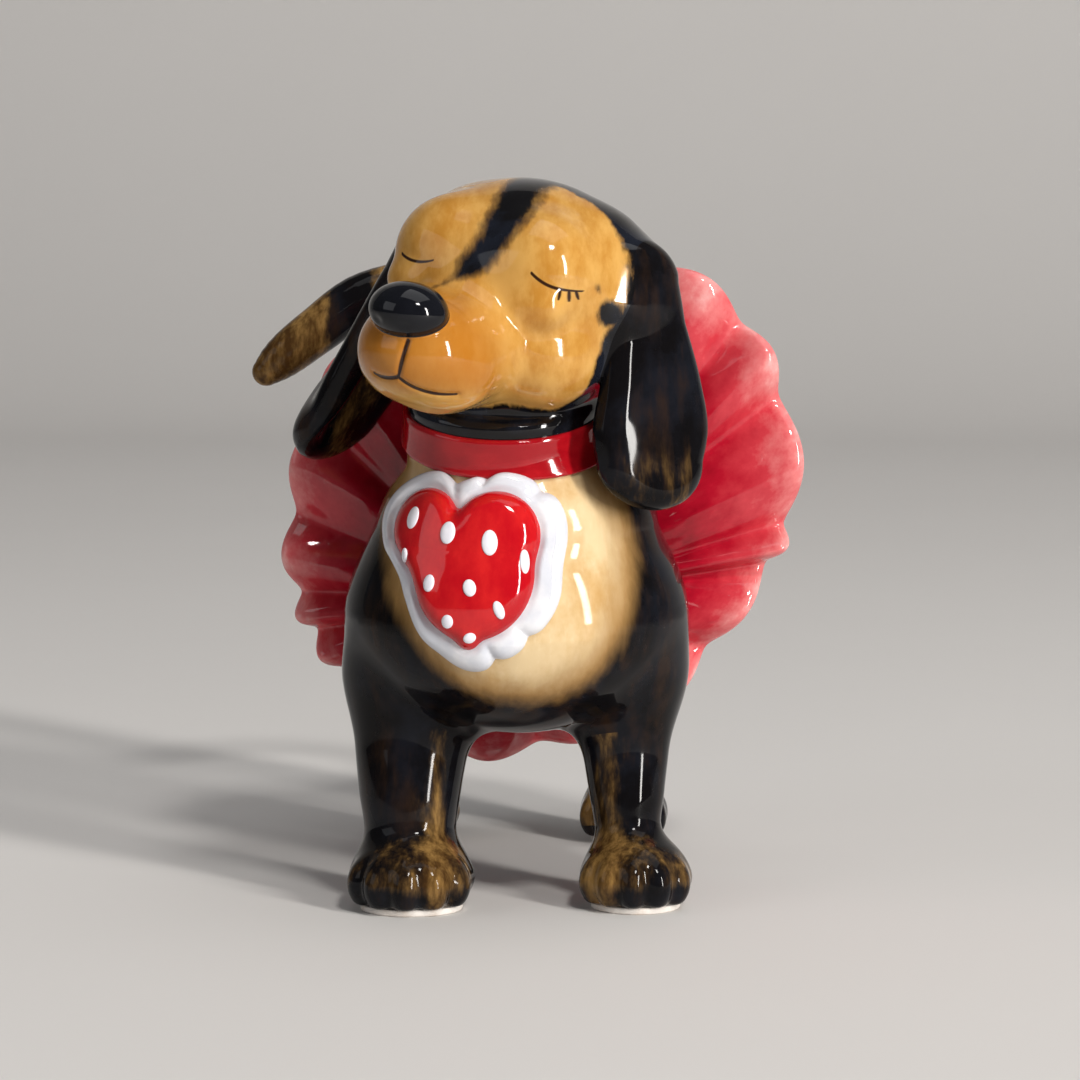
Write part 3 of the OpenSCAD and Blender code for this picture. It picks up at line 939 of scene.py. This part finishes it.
head = sculpt(head_and_ears, *around("head", "left_ear", "right_ear", "nose"), 0.52)
print("head clay:", len(head.faces), "triangles")
nose, head = part_off(head, lambda p: nose_form(p) - head_form(p))
ear_clay = {}
for name in EARS:
    ear_clay[name], head = part_off(head, lambda p: ear_near(p, name) - head_form(p))

# %% [markdown]
# ## The painted face
#
# Ochre slip covers the face, and black covers the back of the head, the neck and a stripe up the
# brow. The closed lids, the lashes and the mouth are single strokes of a fine brush, so each one
# is drawn in the shader as a bowed line, in the head's own frame, and stays sharp at any size.

# %% One stroke of a fine brush
line_group, wires, output = start_group(
    "fine_brush_line", "ShaderNodeTree",
    [("Across", "Float", 0.0), ("Up", "Float", 0.0), ("Start", "Vector", None), ("End", "Vector", None),
     ("Sag", "Float", 0.0), ("Width", "Float", 0.8)],
    [("Mask", "Float")])
ends = {}
for label in ("Start", "End"):
    split = add_node(line_group, "ShaderNodeSeparateXYZ", Vector=wires[label])
    ends[label] = (out(split, 0), out(split, 2))
(x0, z0), (x1, z1) = ends["Start"], ends["End"]
dx, dz = x1 - x0, z1 - z0
size = (dx * dx + dz * dz).maths("SQRT")
from_x, from_z = wires["Across"] - x0, wires["Up"] - z0
share = (from_x * dx + from_z * dz) / (size * size)
bow = wires["Sag"] * share * (1 - share) * 4
off = ((from_x * dz - from_z * dx) / size - bow).maths("ABSOLUTE")
past = (0 - share).maths("MAXIMUM", share - 1).maths("MAXIMUM", 0.0) * size
reach = (off * off + past * past).maths("SQRT")
thin = 1 - soft_step(share, 0.6, 1.1) * 0.4
mask = 1 - soft_step(reach - wires["Width"] * thin * 0.5, -0.12, 0.12)
put(line_group, output.inputs["Mask"], mask)


def line(tree, across, up, start, end, sag, width):
    node = add_node(tree, "ShaderNodeGroup", {"node_tree": line_group}, Across=across, Up=up,
                    Start=(start[0], 0, start[1]), End=(end[0], 0, end[1]), Sag=sag, Width=width)
    return out(node)


# %% Face
LID_LINES = [
    ((14.0, 8.6), (21.6, 5.9), 0.7, 0.6), ((-16.0, 6.9), (-7.6, 7.3), 0.8, 0.6),
    ((19.1, 6.0), (19.3, 4.2), 0.0, 0.4), ((20.2, 5.9), (20.4, 3.9), 0.0, 0.4),
    ((21.0, 5.9), (21.3, 4.3), 0.0, 0.4),
]
face, tree, place = start_material("painted_face")
parts = add_node(tree, "ShaderNodeSeparateXYZ", Vector=value_of(tree, "head_place", "Vector"))
across, along, up = (out(parts, i) for i in range(3))
streaks = marks(tree, place, (1.0, 0.45, 0.5), 5.0)
fine = marks(tree, place, (1.0, 0.5, 0.35), 1.3)
ochre = blend(tree, soft_step(streaks, 0.34, 0.7), (0.6, 0.33, 0.085, 1), (0.45, 0.2, 0.03, 1))
ochre = blend(tree, soft_step(fine, 0.5, 0.85) * 0.25, ochre, (0.68, 0.43, 0.15, 1))
snout = soft_step(along + streaks * 8, -18, -34) * soft_step(up, -17, -11)
ochre = blend(tree, snout * 0.75, ochre, (0.4, 0.135, 0.011, 1))
chin = soft_step(up + fine * 2, -13, -17) * soft_step(along, -14, -24)
ochre = blend(tree, chin, ochre, (0.66, 0.4, 0.11, 1))
soot = blend(tree, soft_step(marks(tree, place, (1, 1, 1), 12.0), 0.42, 0.62),
             (0.004, 0.0035, 0.004, 1), (0.01, 0.012, 0.019, 1))
smudge = painted(tree, value_of(tree, "ochre") + 2.0, streaks, 2.5, 6.0)
paint = blend(tree, (1 - smudge) * 0.8, ochre, (0.14, 0.065, 0.02, 1))
band = painted(tree, 0 - value_of(tree, "stripe"), streaks * 0.6 + fine * 0.4, 1.6, 3.6)
paint = blend(tree, (band * 3).maths("MINIMUM", 1.0) * 0.45, paint, (0.2, 0.1, 0.03, 1))
paint = blend(tree, band, paint, soot)
ochre_area = painted(tree, value_of(tree, "ochre"), fine * 0.5 + streaks * 0.5, 1.2, 1.6)
paint = blend(tree, ochre_area, soot, paint)
ink = None
for start, end, sag in MOUTH_LINES:
    stroke = line(tree, across, up, start, end, sag, 0.8) * (1 - soft_step(along, -30, -26))
    ink = stroke if ink is None else ink.maths("MAXIMUM", stroke)
for start, end, sag, width in LID_LINES:
    stroke = line(tree, across, up, start, end, sag, width) * (1 - soft_step(along, -6, -3))
    ink = ink.maths("MAXIMUM", stroke)
drawn = blend(tree, ink, paint, (0.03, 0.012, 0.006, 1))
glazed(tree, place, drawn, ripple=10.0, bump=0.1, shine=0.32)
print("face has", len(tree.nodes), "nodes")

# %% Where the face is ochre
STRIPE_ROWS = [  # [along, across, half width]
    [-32, -5, 1.0], [-28, -3, 3.0], [-24, 1.0, 3.4], [-21.6, 3.4, 3.6], [-18, 4.0, 4.2],
    [-5, 1.0, 4.3], [10, 0, 6],
]
EAR_BLOTS = ((-10.6, 6.2, 0.7), (-7.6, 1.4, 2.6))  # [along, up, radius] of blots by the left ear


def min_of(values):
    return np.minimum.reduce(values)


def ochre_depth(p):
    """Depth in the ochre in millimetres: below zero on the nape, in the blots and on the throat."""
    x, y, z = HEAD.into(p).T
    crown = 0.35 * np.maximum(z, -8) - 6.8 - y + np.where(x < 0, 7, 0)
    under = (throat_form(p) - face_form(p)) * 0.8 - 0.6
    blots = min_of([np.hypot(y - at[0], z - at[1]) - at[2] for at in EAR_BLOTS])
    blots = blots + np.where(x < 0, 9, 0)
    return min_of([crown, under, blots])


def stripe_depth(p):
    """Distance in millimetres outside the black stripe over the crown and down the brow."""
    x, y, z = HEAD.into(p).T
    middle, half = follow(y, STRIPE_ROWS).T
    return np.abs(x - middle) - np.where(z > 0, half * fade(z, 3, 9), -3)


def face_piece(name, clay, material, slot, nodes):
    made = piece(name, clay, material, slot, nodes, ochre=ochre_depth(clay.points),
                 stripe=stripe_depth(clay.points))
    local = made.data.attributes.new("head_place", "FLOAT_VECTOR", "POINT")
    local.data.foreach_set("vector", HEAD.into(clay.points).astype(np.float32).ravel())
    return made


face_piece("head_clay", head, face, "painted_face", ["head"])

# %% Ears


def ear_gold(p, name):
    """The lower half of the flap is rubbed back, most on one face of the right ear."""
    place, _, length = EARS[name]
    q = place.into(p)
    share = -q[:, 2] / length
    if name == "left_ear":
        return 0.28 * fade(share, 0.55, 0.9)
    inner = fade(q[:, 0], -1, 2) * np.exp(-((q[:, 1] - 2) / 6) ** 2)
    return np.clip(0.62 * inner * fade(share, 0.4, 0.7) + 0.05, 0, 1)


for name, clay in ear_clay.items():
    piece(name + "_clay", clay, coat, "painted_coat", [name],
          cream=np.full(len(clay.points), -50.0), gold=ear_gold(clay.points, name))

# %% Nose
black_glaze, tree, place = start_material("nose_glaze")
tone = blend(tree, marks(tree, place, (1, 1, 1), 6.0),
             (0.002, 0.002, 0.003, 1), (0.009, 0.01, 0.014, 1))
glazed(tree, place, tone, ripple=7.0, bump=0.08, shine=0.3)
piece("nose_clay", nose, black_glaze, "nose_glaze", ["nose"])

# %% [markdown]
# ## Collar
#
# The collar is a thin strap that hides the seam between head and torso. It is the skin of the neck
# itself, grown outwards by a millimetre and cut off above and below with soft edges, so it hugs the
# clay however the neck was shaped.

# %% Collar
COLLAR_HALF, COLLAR_OUT = 4.0, 1.05


def collar_form(p):
    skin = np.minimum(torso_form(p), head_form(p))
    shell = meet(skin - COLLAR_OUT, -skin - 0.6, 0.5)
    q = COLLAR.into(p)
    edge = np.abs(q[:, 2] + 0.12 * wave(q, 9)) - COLLAR_HALF
    return meet(shell, edge, 1.1)


collar_red, tree, place = start_material("collar_glaze")
band = marks(tree, place, (0.5, 0.5, 1.0), 6.0)
red = blend(tree, soft_step(band, 0.35, 0.7), (0.3, 0.003, 0.008, 1), (0.43, 0.009, 0.014, 1))
glazed(tree, place, red, ripple=8.0)
collar = sculpt(collar_form, *around("collar"), 0.4)
piece("collar_clay", collar, collar_red, "collar_glaze", ["collar"])

# %% [markdown]
# ## Heart, frill and seeds
#
# The heart lies on the curve of the chest. Its outline is drawn flat, two round lobes that run to a
# tip, and its height is measured from the chest's own field, so both the puffy dome and the
# pinched frill follow the body underneath. The seeds are drops of white glaze set by Geometry Nodes.

# %% Heart outline


def cone_2d(x, z, a, ra, b, rb):
    """Distance in a plane to a bar that narrows from one circle to another."""
    dx, dz = b[0] - a[0], b[1] - a[1]
    t = np.clip(((x - a[0]) * dx + (z - a[1]) * dz) / (dx * dx + dz * dz), 0, 1)
    return np.hypot(x - a[0] - t * dx, z - a[1] - t * dz) - ra - t * (rb - ra)


def heart_outline(x, z):
    left = cone_2d(x, z, (-8.5, 8.2), 7.7, (2.4, -9.4), 4.2)
    right = np.hypot(x - 6.8, z - 7.2) - 8.8
    belly = (np.hypot((x - 3.4) / 12, (z + 1.5) / 12.8) - 1) * 12
    tip = cone_2d(x, z, (3.4, -2), 10, (3.5, -14), 2.1)
    return join_all([left, right, belly, tip], 2.0)


FRILL_FOLDS = (-62, -37, 52, 80, 100)


def frill_folds(turn):
    """1 where the frill was pinched, falling to 0 a few degrees away."""
    return sum(np.exp(-np.abs((turn - at) / 4.5) ** 1.5) for at in FRILL_FOLDS)


def frill_form(p):
    x, _, z = HEART.into(p).T
    outline = heart_outline(x, z)
    turn = np.arctan2(z + 1, x)
    fold = frill_folds(np.degrees(turn))
    margin = 3.9 + 0.9 * np.cos(turn) + 0.2 * np.cos(7 * turn + 1) - 1.2 * fold
    puff = 0.7 * fade(outline, -0.5, 1.5) * (1 + 0.5 * np.cos(5 * turn - 1))
    puff = puff - 0.8 * fold * fade(outline, 0, 2)
    return meet(outline - margin, np.abs(torso_form(p) - 0.5 - puff) - 1.5, 2.0)


HEART_DOME = 5.4


def heart_form(p):
    x, _, z = HEART.into(p).T
    outline = heart_outline(x, z)
    wide, high = (x - 0.8) / 20.5, (z - 1.2) / 22
    crown = np.sqrt(np.maximum(1.02 - wide**2 - high**2, 0.02))
    valley = 0.7 * np.exp(-((x + 1.2) / 3.2) ** 2) * fade(z, 5, 13)
    height = torso_form(p) - HEART_DOME * crown + valley
    return meet(meet(outline, height - 0.6, 3.2), -torso_form(p) - 0.8, 0.5)


heart_low, heart_high = around("heart_frill", "heart")
frill = sculpt(frill_form, heart_low, heart_high, 0.42)
heart = sculpt(heart_form, heart_low, heart_high, 0.42)

# %% Heart finishes
heart_red, tree, place = start_material("heart_glaze")
wash = marks(tree, place, (1.0, 1.0, 0.6), 8.0)
red = blend(tree, soft_step(wash, 0.35, 0.7), (0.46, 0.003, 0.009, 1), (0.62, 0.016, 0.016, 1))
glazed(tree, place, red, ripple=8.0)
white_glaze, tree, place = start_material("frill_glaze")
pool = marks(tree, place, (1, 1, 1), 7.0)
white = blend(tree, soft_step(pool, 0.4, 0.7), (0.64, 0.66, 0.72, 1), (0.76, 0.76, 0.79, 1))
glazed(tree, place, white, ripple=5.0)
piece("heart_frill_clay", frill, white_glaze, "frill_glaze", ["heart_frill"])
piece("heart_clay", heart, heart_red, "heart_glaze", ["heart"])

# %% Where the seeds sit
HEART_WIDTH, HEART_HEIGHT = 30.0, 33.0
WIDTH_PARTS, HEIGHT_PARTS = 1.6, 2  # a seed's radii are its width and height divided by these
SEED_RISE = 0.5  # its third radius, in millimetres
SEEDS = [  # [across, up, width, height] as shares of the heart, and the lean in degrees
    (-0.34, 0.28, 0.08, 0.14, 4), (-0.06, 0.2, 0.085, 0.14, -4), (0.23, 0.16, 0.085, 0.155, -6),
    (0.455, 0.07, 0.06, 0.15, -6), (-0.37, 0.05, 0.05, 0.09, 14), (-0.15, -0.11, 0.065, 0.105, 4),
    (0.135, -0.12, 0.07, 0.105, -18), (0.335, -0.235, 0.055, 0.115, -28), (0.0, -0.33, 0.065, 0.085, 8),
    (0.15, -0.415, 0.07, 0.07, -34),
]


def on_heart(across, up):
    """The point of the heart's surface in front of a place on its outline, and its normal."""
    p = HEART.out(np.array([[across * HEART_WIDTH, -16.0, up * HEART_HEIGHT]]))
    ahead = HEART.axes[:, 1]
    for _ in range(60):
        p = p + heart_form(p)[:, None] * ahead * 0.7
    normal = slope_of(heart_form, p)[1][0]
    return p[0], normal / np.linalg.norm(normal)


seed_points = bpy.data.meshes.new("seed_points")
seed_spots = [on_heart(s[0], s[1]) for s in SEEDS]
seed_leans = [math.radians(s[4]) for s in SEEDS]
seed_points.from_pydata([((spot + STAND) / 1000).tolist() for spot, _ in seed_spots], [], [])
for key, rows in (
    ("facing", [normal for _, normal in seed_spots]),
    ("upright", [HEART.axes @ (math.sin(lean), 0, math.cos(lean)) for lean in seed_leans]),
    ("size", [(s[2] * HEART_WIDTH / WIDTH_PARTS, s[3] * HEART_HEIGHT / HEIGHT_PARTS, SEED_RISE)
              for s in SEEDS]),
):
    attribute = seed_points.attributes.new(key, "FLOAT_VECTOR", "POINT")
    attribute.data.foreach_set("vector", np.array(rows, np.float32).ravel())

# %% Seeds by Geometry Nodes


def named(tree, name):
    """A vector that the points carry."""
    node = add_node(tree, "GeometryNodeInputNamedAttribute", {"data_type": "FLOAT_VECTOR"}, Name=name)
    return out(node)


def grown(name, tree, base, **inputs):
    """Runs a Geometry Nodes tree on a mesh and returns the plain mesh it makes."""
    maker = bpy.data.objects.new(name + "_maker", base)
    bpy.context.scene.collection.objects.link(maker)
    modifier = maker.modifiers.new("grow", "NODES")
    modifier.node_group = tree
    sockets = {s.name: s.identifier for s in tree.interface.items_tree
               if s.item_type == "SOCKET" and s.in_out == "INPUT"}
    for label, value in inputs.items():
        modifier[sockets[label.replace("_", " ")]] = value
    bpy.context.view_layer.update()
    evaluated = maker.evaluated_get(bpy.context.evaluated_depsgraph_get())
    mesh = bpy.data.meshes.new_from_object(evaluated)
    maker.modifiers.clear()
    bpy.data.objects.remove(maker)
    mesh.name = name
    return mesh


seed_tree, wires, output = start_group(
    "seed_drops", "GeometryNodeTree",
    [("Geometry", "Geometry", None), ("Scale", "Float", 1.0), ("Finish", "Material", None)],
    [("Geometry", "Geometry")])
drop = add_node(seed_tree, "GeometryNodeMeshUVSphere", Segments=28, Rings=16, Radius=0.001)
facing = add_node(seed_tree, "FunctionNodeAlignRotationToVector", {"axis": "Z"},
                  Vector=named(seed_tree, "facing"))
upright = add_node(seed_tree, "FunctionNodeAlignRotationToVector", {"axis": "Y", "pivot_axis": "Z"},
                   Rotation=out(facing), Vector=named(seed_tree, "upright"))
sized = add_node(seed_tree, "ShaderNodeVectorMath", {"operation": "SCALE"}, Scale=wires["Scale"])
put(seed_tree, sized.inputs[0], named(seed_tree, "size"))
points = add_node(seed_tree, "GeometryNodeMeshToPoints", Mesh=wires["Geometry"])
drops = add_node(seed_tree, "GeometryNodeInstanceOnPoints", Points=out(points), Instance=out(drop),
                 Rotation=out(upright), Scale=out(sized))
real = add_node(seed_tree, "GeometryNodeRealizeInstances", Geometry=out(drops))
smooth = add_node(seed_tree, "GeometryNodeSetShadeSmooth", Geometry=out(real))
dressed = add_node(seed_tree, "GeometryNodeSetMaterial", Geometry=out(smooth), Material=wires["Finish"])
put(seed_tree, output.inputs["Geometry"], out(dressed))

seed_white, tree, place = start_material("seed_glaze")
pool = marks(tree, place, (1, 1, 1), 2.0)
glazed(tree, place, blend(tree, pool, (0.74, 0.74, 0.83, 1), (0.88, 0.87, 0.92, 1)), ripple=2.5)
seeds = grown("heart_seed_drops", seed_tree, seed_points, Scale=1.0, Finish=seed_white)
placed(bpy.data.objects.new("heart_seed_drops", seeds), ["heart_seeds"])

# %% [markdown]
# ## Tutu
#
# The tutu is one ring of clay, pinched into uneven folds. Its shape follows a rule: each point of a
# flat grid is a turn round the body and a step out to the rim and back. Geometry Nodes bend the grid
# by that rule, and a Float Curve holds the turn at which each fold was pinched.

# %% Where the tutu was pinched
TUTU_AT = np.array([3.4, 30.0, 80.5])
PINCHES = (23, 41, 64, 90, 112, 135, 160, 184, 202, 211, 222, 248, 270, 295, 318, 344, 354)

tutu_tree, wires, output = start_group(
    "pinched_tutu", "GeometryNodeTree",
    [("Geometry", "Geometry", None), ("Centre", "Vector", None), ("Radius", "Float", 53.8),
     ("Stretch", "Float", 3.8), ("Thickness", "Float", 4.4), ("Swing", "Float", 3.2),
     ("Scallop", "Float", 3.4),
     ("Hole", "Float", 18.0), ("Steps", "Int", 900), ("Rows", "Int", 76), ("Finish", "Material", None)],
    [("Geometry", "Geometry")])
sheet = add_node(tutu_tree, "GeometryNodeMeshGrid", Size_X=1.0, Size_Y=1.0,
                 Vertices_X=wires["Steps"], Vertices_Y=wires["Rows"])
grid_place = out(tutu_tree.nodes.new("GeometryNodeInputPosition"))
spot = add_node(tutu_tree, "ShaderNodeSeparateXYZ", Vector=grid_place)
turn_share, row_share = out(spot, 0) + 0.5, out(spot, 1) + 0.5
turn = turn_share * (2 * math.pi)
outward = (row_share * math.pi).maths("SINE").maths("MAXIMUM", 0.0)
front = (0.5 - row_share).maths("SIGN")
pinched = add_node(tutu_tree, "ShaderNodeFloatCurve", Value=turn_share)
curve = pinched.mapping.curves[0]
folds = len(PINCHES)
lead = (PINCHES[0] - PINCHES[-1] + 360) / 360
marks_at = [(0, (1 - (PINCHES[0] / 360) / lead) / folds)]
marks_at += [(angle / 360, (i + 1) / folds) for i, angle in enumerate(PINCHES)]
last = (360 - PINCHES[-1]) / 360
curve.points[0].location = marks_at[0]
curve.points[1].location = (1, (folds + last / lead) / folds)
for at in marks_at[1:]:
    curve.points.new(*at)
for point in curve.points:
    point.handle_type = "VECTOR"
pinched.mapping.use_clip = False
pinched.mapping.update()
phase = out(pinched) * (folds * math.pi)
ripple = phase.maths("SINE")
lobe = (ripple * ripple + 0.09).maths("SQRT")

# %% The rule of the tutu
cos_turn, sin_turn = turn.maths("COSINE"), turn.maths("SINE")
wobble = (turn * 3 + 0.7).maths("SINE") * 0.7 + (turn * 7 + 2.0).maths("SINE") * 0.5
edge = (wires["Radius"] + wires["Stretch"] * (turn * 2 - math.pi / 2).maths("COSINE")
        + wires["Scallop"] * (lobe - 0.62) + wobble)
hole_x, hole_z = -float(TUTU_AT[0]), 66.0 - float(TUTU_AT[2])
inner_x, inner_z = cos_turn * wires["Hole"] + hole_x, sin_turn * wires["Hole"] + hole_z
x = inner_x + (edge * cos_turn - inner_x) * outward
z = inner_z + (edge * sin_turn - inner_z) * outward
flat_middle = 1 - (outward * 2 - 1).maths("ABSOLUTE").maths("POWER", 12.0)
round_rim = flat_middle.maths("MAXIMUM", 0.0).maths("SQRT")
plump = round_rim * wires["Thickness"] * 0.5 * (lobe * 0.35 + 0.78)
tuck = (turn * 31 + (turn * 5).maths("SINE") * 2).maths("SINE") * outward * (1.15 - outward) * 0.6
swing = 0 - wires["Swing"] * outward.maths("POWER", 1.5) * (lobe * 2 - 1.15)
y = swing + tuck - front * plump
moved = add_node(tutu_tree, "ShaderNodeCombineXYZ", X=x * 0.001, Y=y * 0.001, Z=z * 0.001)
centred = add_node(tutu_tree, "ShaderNodeVectorMath", {"operation": "ADD"})
put(tutu_tree, centred.inputs[0], out(moved))
put(tutu_tree, centred.inputs[1], wires["Centre"])


def store(tree, geometry, name, value, kind="FLOAT"):
    node = add_node(tree, "GeometryNodeStoreNamedAttribute", {"data_type": kind, "domain": "POINT"},
                    Geometry=geometry, Name=name, Value=value)
    return out(node)


shape = store(tutu_tree, out(sheet), "outward", outward)
# This value is 1 in the creases between the folds; the glaze uses it to darken them as painted shade.
shape = store(tutu_tree, shape, "crease_shade", 1 - lobe)
polar = add_node(tutu_tree, "ShaderNodeCombineXYZ", X=cos_turn, Y=sin_turn, Z=outward * 0.9)
shape = store(tutu_tree, shape, "polar", out(polar), "FLOAT_VECTOR")
shape = out(add_node(tutu_tree, "GeometryNodeSetPosition", Geometry=shape, Position=out(centred)))
shape = out(add_node(tutu_tree, "GeometryNodeMergeByDistance", Geometry=shape, Distance=0.00001))
shape = out(add_node(tutu_tree, "GeometryNodeSetShadeSmooth", Geometry=shape))
real = add_node(tutu_tree, "GeometryNodeRealizeInstances", Geometry=shape)
dressed = add_node(tutu_tree, "GeometryNodeSetMaterial", Geometry=out(real), Material=wires["Finish"])
put(tutu_tree, output.inputs["Geometry"], out(dressed))

# %% Tutu glaze
pink, tree, place = start_material("tutu_glaze")
radial = add_node(tree, "ShaderNodeTexNoise", Vector=value_of(tree, "polar", "Vector"),
                  Scale=9.0, Detail=6.0, Roughness=0.6)
blot = marks(tree, place, (1, 1, 1), 9.0)
tone = value_of(tree, "outward") + (out(radial) - 0.5) * 0.5 + (blot - 0.5) * 0.3
# The creases between the folds are painted darker: painted shade.
tone = tone - value_of(tree, "crease_shade") * 0.12
TONE_TOP = 1.2  # the tone at the end of the ramp
ramp = add_node(tree, "ShaderNodeValToRGB", Fac=tone / TONE_TOP)
STOPS = [
    (0.28, (0.24, 0.002, 0.01, 1)), (0.56, (0.45, 0.008, 0.024, 1)), (0.8, (0.62, 0.045, 0.062, 1)),
    (0.96, (0.74, 0.19, 0.19, 1)), (1.16, (0.86, 0.55, 0.52, 1)),
]
stops = ramp.color_ramp.elements
for given, (stop, colour) in zip(stops, (STOPS[0], STOPS[-1])):
    given.position, given.color = stop / TONE_TOP, colour
for stop, colour in STOPS[1:-1]:
    stops.new(stop / TONE_TOP).color = colour
glazed(tree, place, out(ramp), ripple=7.0, bump=0.16)
tutu_mesh = grown("tutu_clay", tutu_tree, bpy.data.meshes.new("empty"),
                  Centre=((TUTU_AT + STAND) / 1000).tolist(), Finish=pink)
placed(bpy.data.objects.new("tutu_clay", tutu_mesh), ["tutu"])

# %% [markdown]
# ## Bare clay soles
#
# Each paw stands on a low ring that is wiped clean of glaze, so that it doesn't stick in the kiln.
# It is a soft-edged disc of dry, chalky clay.

# %% Soles
clay_white, tree, place = start_material("bare_clay")
grain = marks(tree, place, (1, 1, 1), 0.5)
stain = marks(tree, place, (1, 1, 1), 5.0)
chalk = blend(tree, soft_step(stain, 0.45, 0.75), (0.8, 0.75, 0.7, 1), (0.62, 0.52, 0.44, 1))
relief = add_node(tree, "ShaderNodeBump", Distance=0.0001, Strength=0.6, Height=grain)
shader = add_node(tree, "ShaderNodeBsdfPrincipled", Base_Color=chalk, Roughness=grain * 0.15 + 0.75,
                  Normal=out(relief))
show(tree, shader)


def sole_form(p, at, radius):
    disc = np.hypot(p[:, 0] - at[0], p[:, 1] - at[1]) + 0.25 * wave(p, 5) - radius
    return meet(disc, np.abs(p[:, 2] - 0.7) - 0.7, 0.5)


for name in LEGS:
    low, high = around(name + "_sole", room=1.5)
    radius = (high[0] - low[0]) / 2 - 1.5
    sole = sculpt(lambda p: sole_form(p, paw_at[name], radius), low, high, 0.3)
    piece(name + "_sole_clay", sole, clay_white, "bare_clay", [name + "_sole"])

# %% [markdown]
# ## Studio
#
# A pale floor runs up into a pale backdrop. A tall strip of light stands at the right in front, where
# it draws long strips on the legs, and a small square one is high in front. A broad one hangs
# overhead and a dim one fills the left side.

# %% Floor and backdrop
FLOOR_NEAR, FLOOR_FAR, BEND, WALL_TOP, HALF_WIDTH = -2.5, 1.4, 0.6, 2.6, 3.5
sweep = [(FLOOR_NEAR, 0.0)]
for i in range(17):
    angle = math.pi / 2 * i / 16
    sweep.append((FLOOR_FAR + BEND * math.sin(angle), BEND * (1 - math.cos(angle))))
sweep.append((FLOOR_FAR + BEND, WALL_TOP))
ground = bpy.data.meshes.new("ground")
ground.from_pydata(
    [(x, y, z) for y, z in sweep for x in (-HALF_WIDTH, HALF_WIDTH)], [],
    [(2 * i, 2 * i + 1, 2 * i + 3, 2 * i + 2) for i in range(len(sweep) - 1)])
ground.shade_smooth()
paper, tree, place = start_material("pale_paper")
tint = blend(tree, marks(tree, place, (1, 1, 1), 400.0), (0.68, 0.66, 0.64, 1), (0.72, 0.7, 0.68, 1))
shader = add_node(tree, "ShaderNodeBsdfPrincipled", Base_Color=tint, Roughness=0.8)
show(tree, shader)
ground.materials.append(paper)
floor = bpy.data.objects.new("ground", ground)
bpy.context.scene.collection.objects.link(floor)

# %% Lights


def aimed(thing, at, target):
    thing.location = at
    thing.rotation_euler = (Vector(target) - Vector(at)).to_track_quat("-Z", "Y").to_euler()
    bpy.context.scene.collection.objects.link(thing)
    return thing


def soft_light(name, at, size, power, colour=(1, 1, 1)):
    lamp = bpy.data.lights.new(name, "AREA")
    lamp.shape, lamp.size, lamp.size_y = "RECTANGLE", *size
    lamp.energy, lamp.color = power, colour
    return aimed(bpy.data.objects.new(name, lamp), at, (0, 0, 0.08))


soft_light("key_strip", (1.6, -1.6, 0.72), (0.2, 1.3), 54.0, (1, 0.97, 0.93))
soft_light("high_square", (0.7, -1.5, 1.9), (0.32, 0.32), 20.0, (1, 0.98, 0.95))
soft_light("overhead", (0.4, -0.2, 2.4), (1.8, 1.8), 13.0)
soft_light("left_fill", (-1.8, -1.0, 1.0), (1.2, 1.2), 4.5, (0.95, 0.97, 1))
world = bpy.data.worlds.new("studio")
world.use_nodes = True
world.node_tree.nodes["Background"].inputs["Color"].default_value = (0.75, 0.76, 0.8, 1)
world.node_tree.nodes["Background"].inputs["Strength"].default_value = 0.1
bpy.context.scene.world = world
bpy.context.scene.view_settings.view_transform = "Standard"

# %% [markdown]
# ## Camera
#
# The dog is seen from the front, a little above its chest and a touch from its own left, through a
# long lens.

# %% Camera
CAMERA_DISTANCE, CAMERA_SIDE, CAMERA_UP = 760.0, math.radians(2), 145.0
TARGET = np.array([4.7, 0.0, 74.0])
lens = bpy.data.cameras.new("camera")
lens.sensor_width, lens.lens = 36.0, 123.6
eye = TARGET + (CAMERA_DISTANCE * math.sin(CAMERA_SIDE), -CAMERA_DISTANCE * math.cos(CAMERA_SIDE),
                CAMERA_UP - TARGET[2])
camera = aimed(bpy.data.objects.new("camera", lens), ((eye + STAND) / 1000).tolist(),
               ((TARGET + STAND) / 1000).tolist())
bpy.context.scene.camera = camera

# %% Update the scene
bpy.context.view_layer.update()
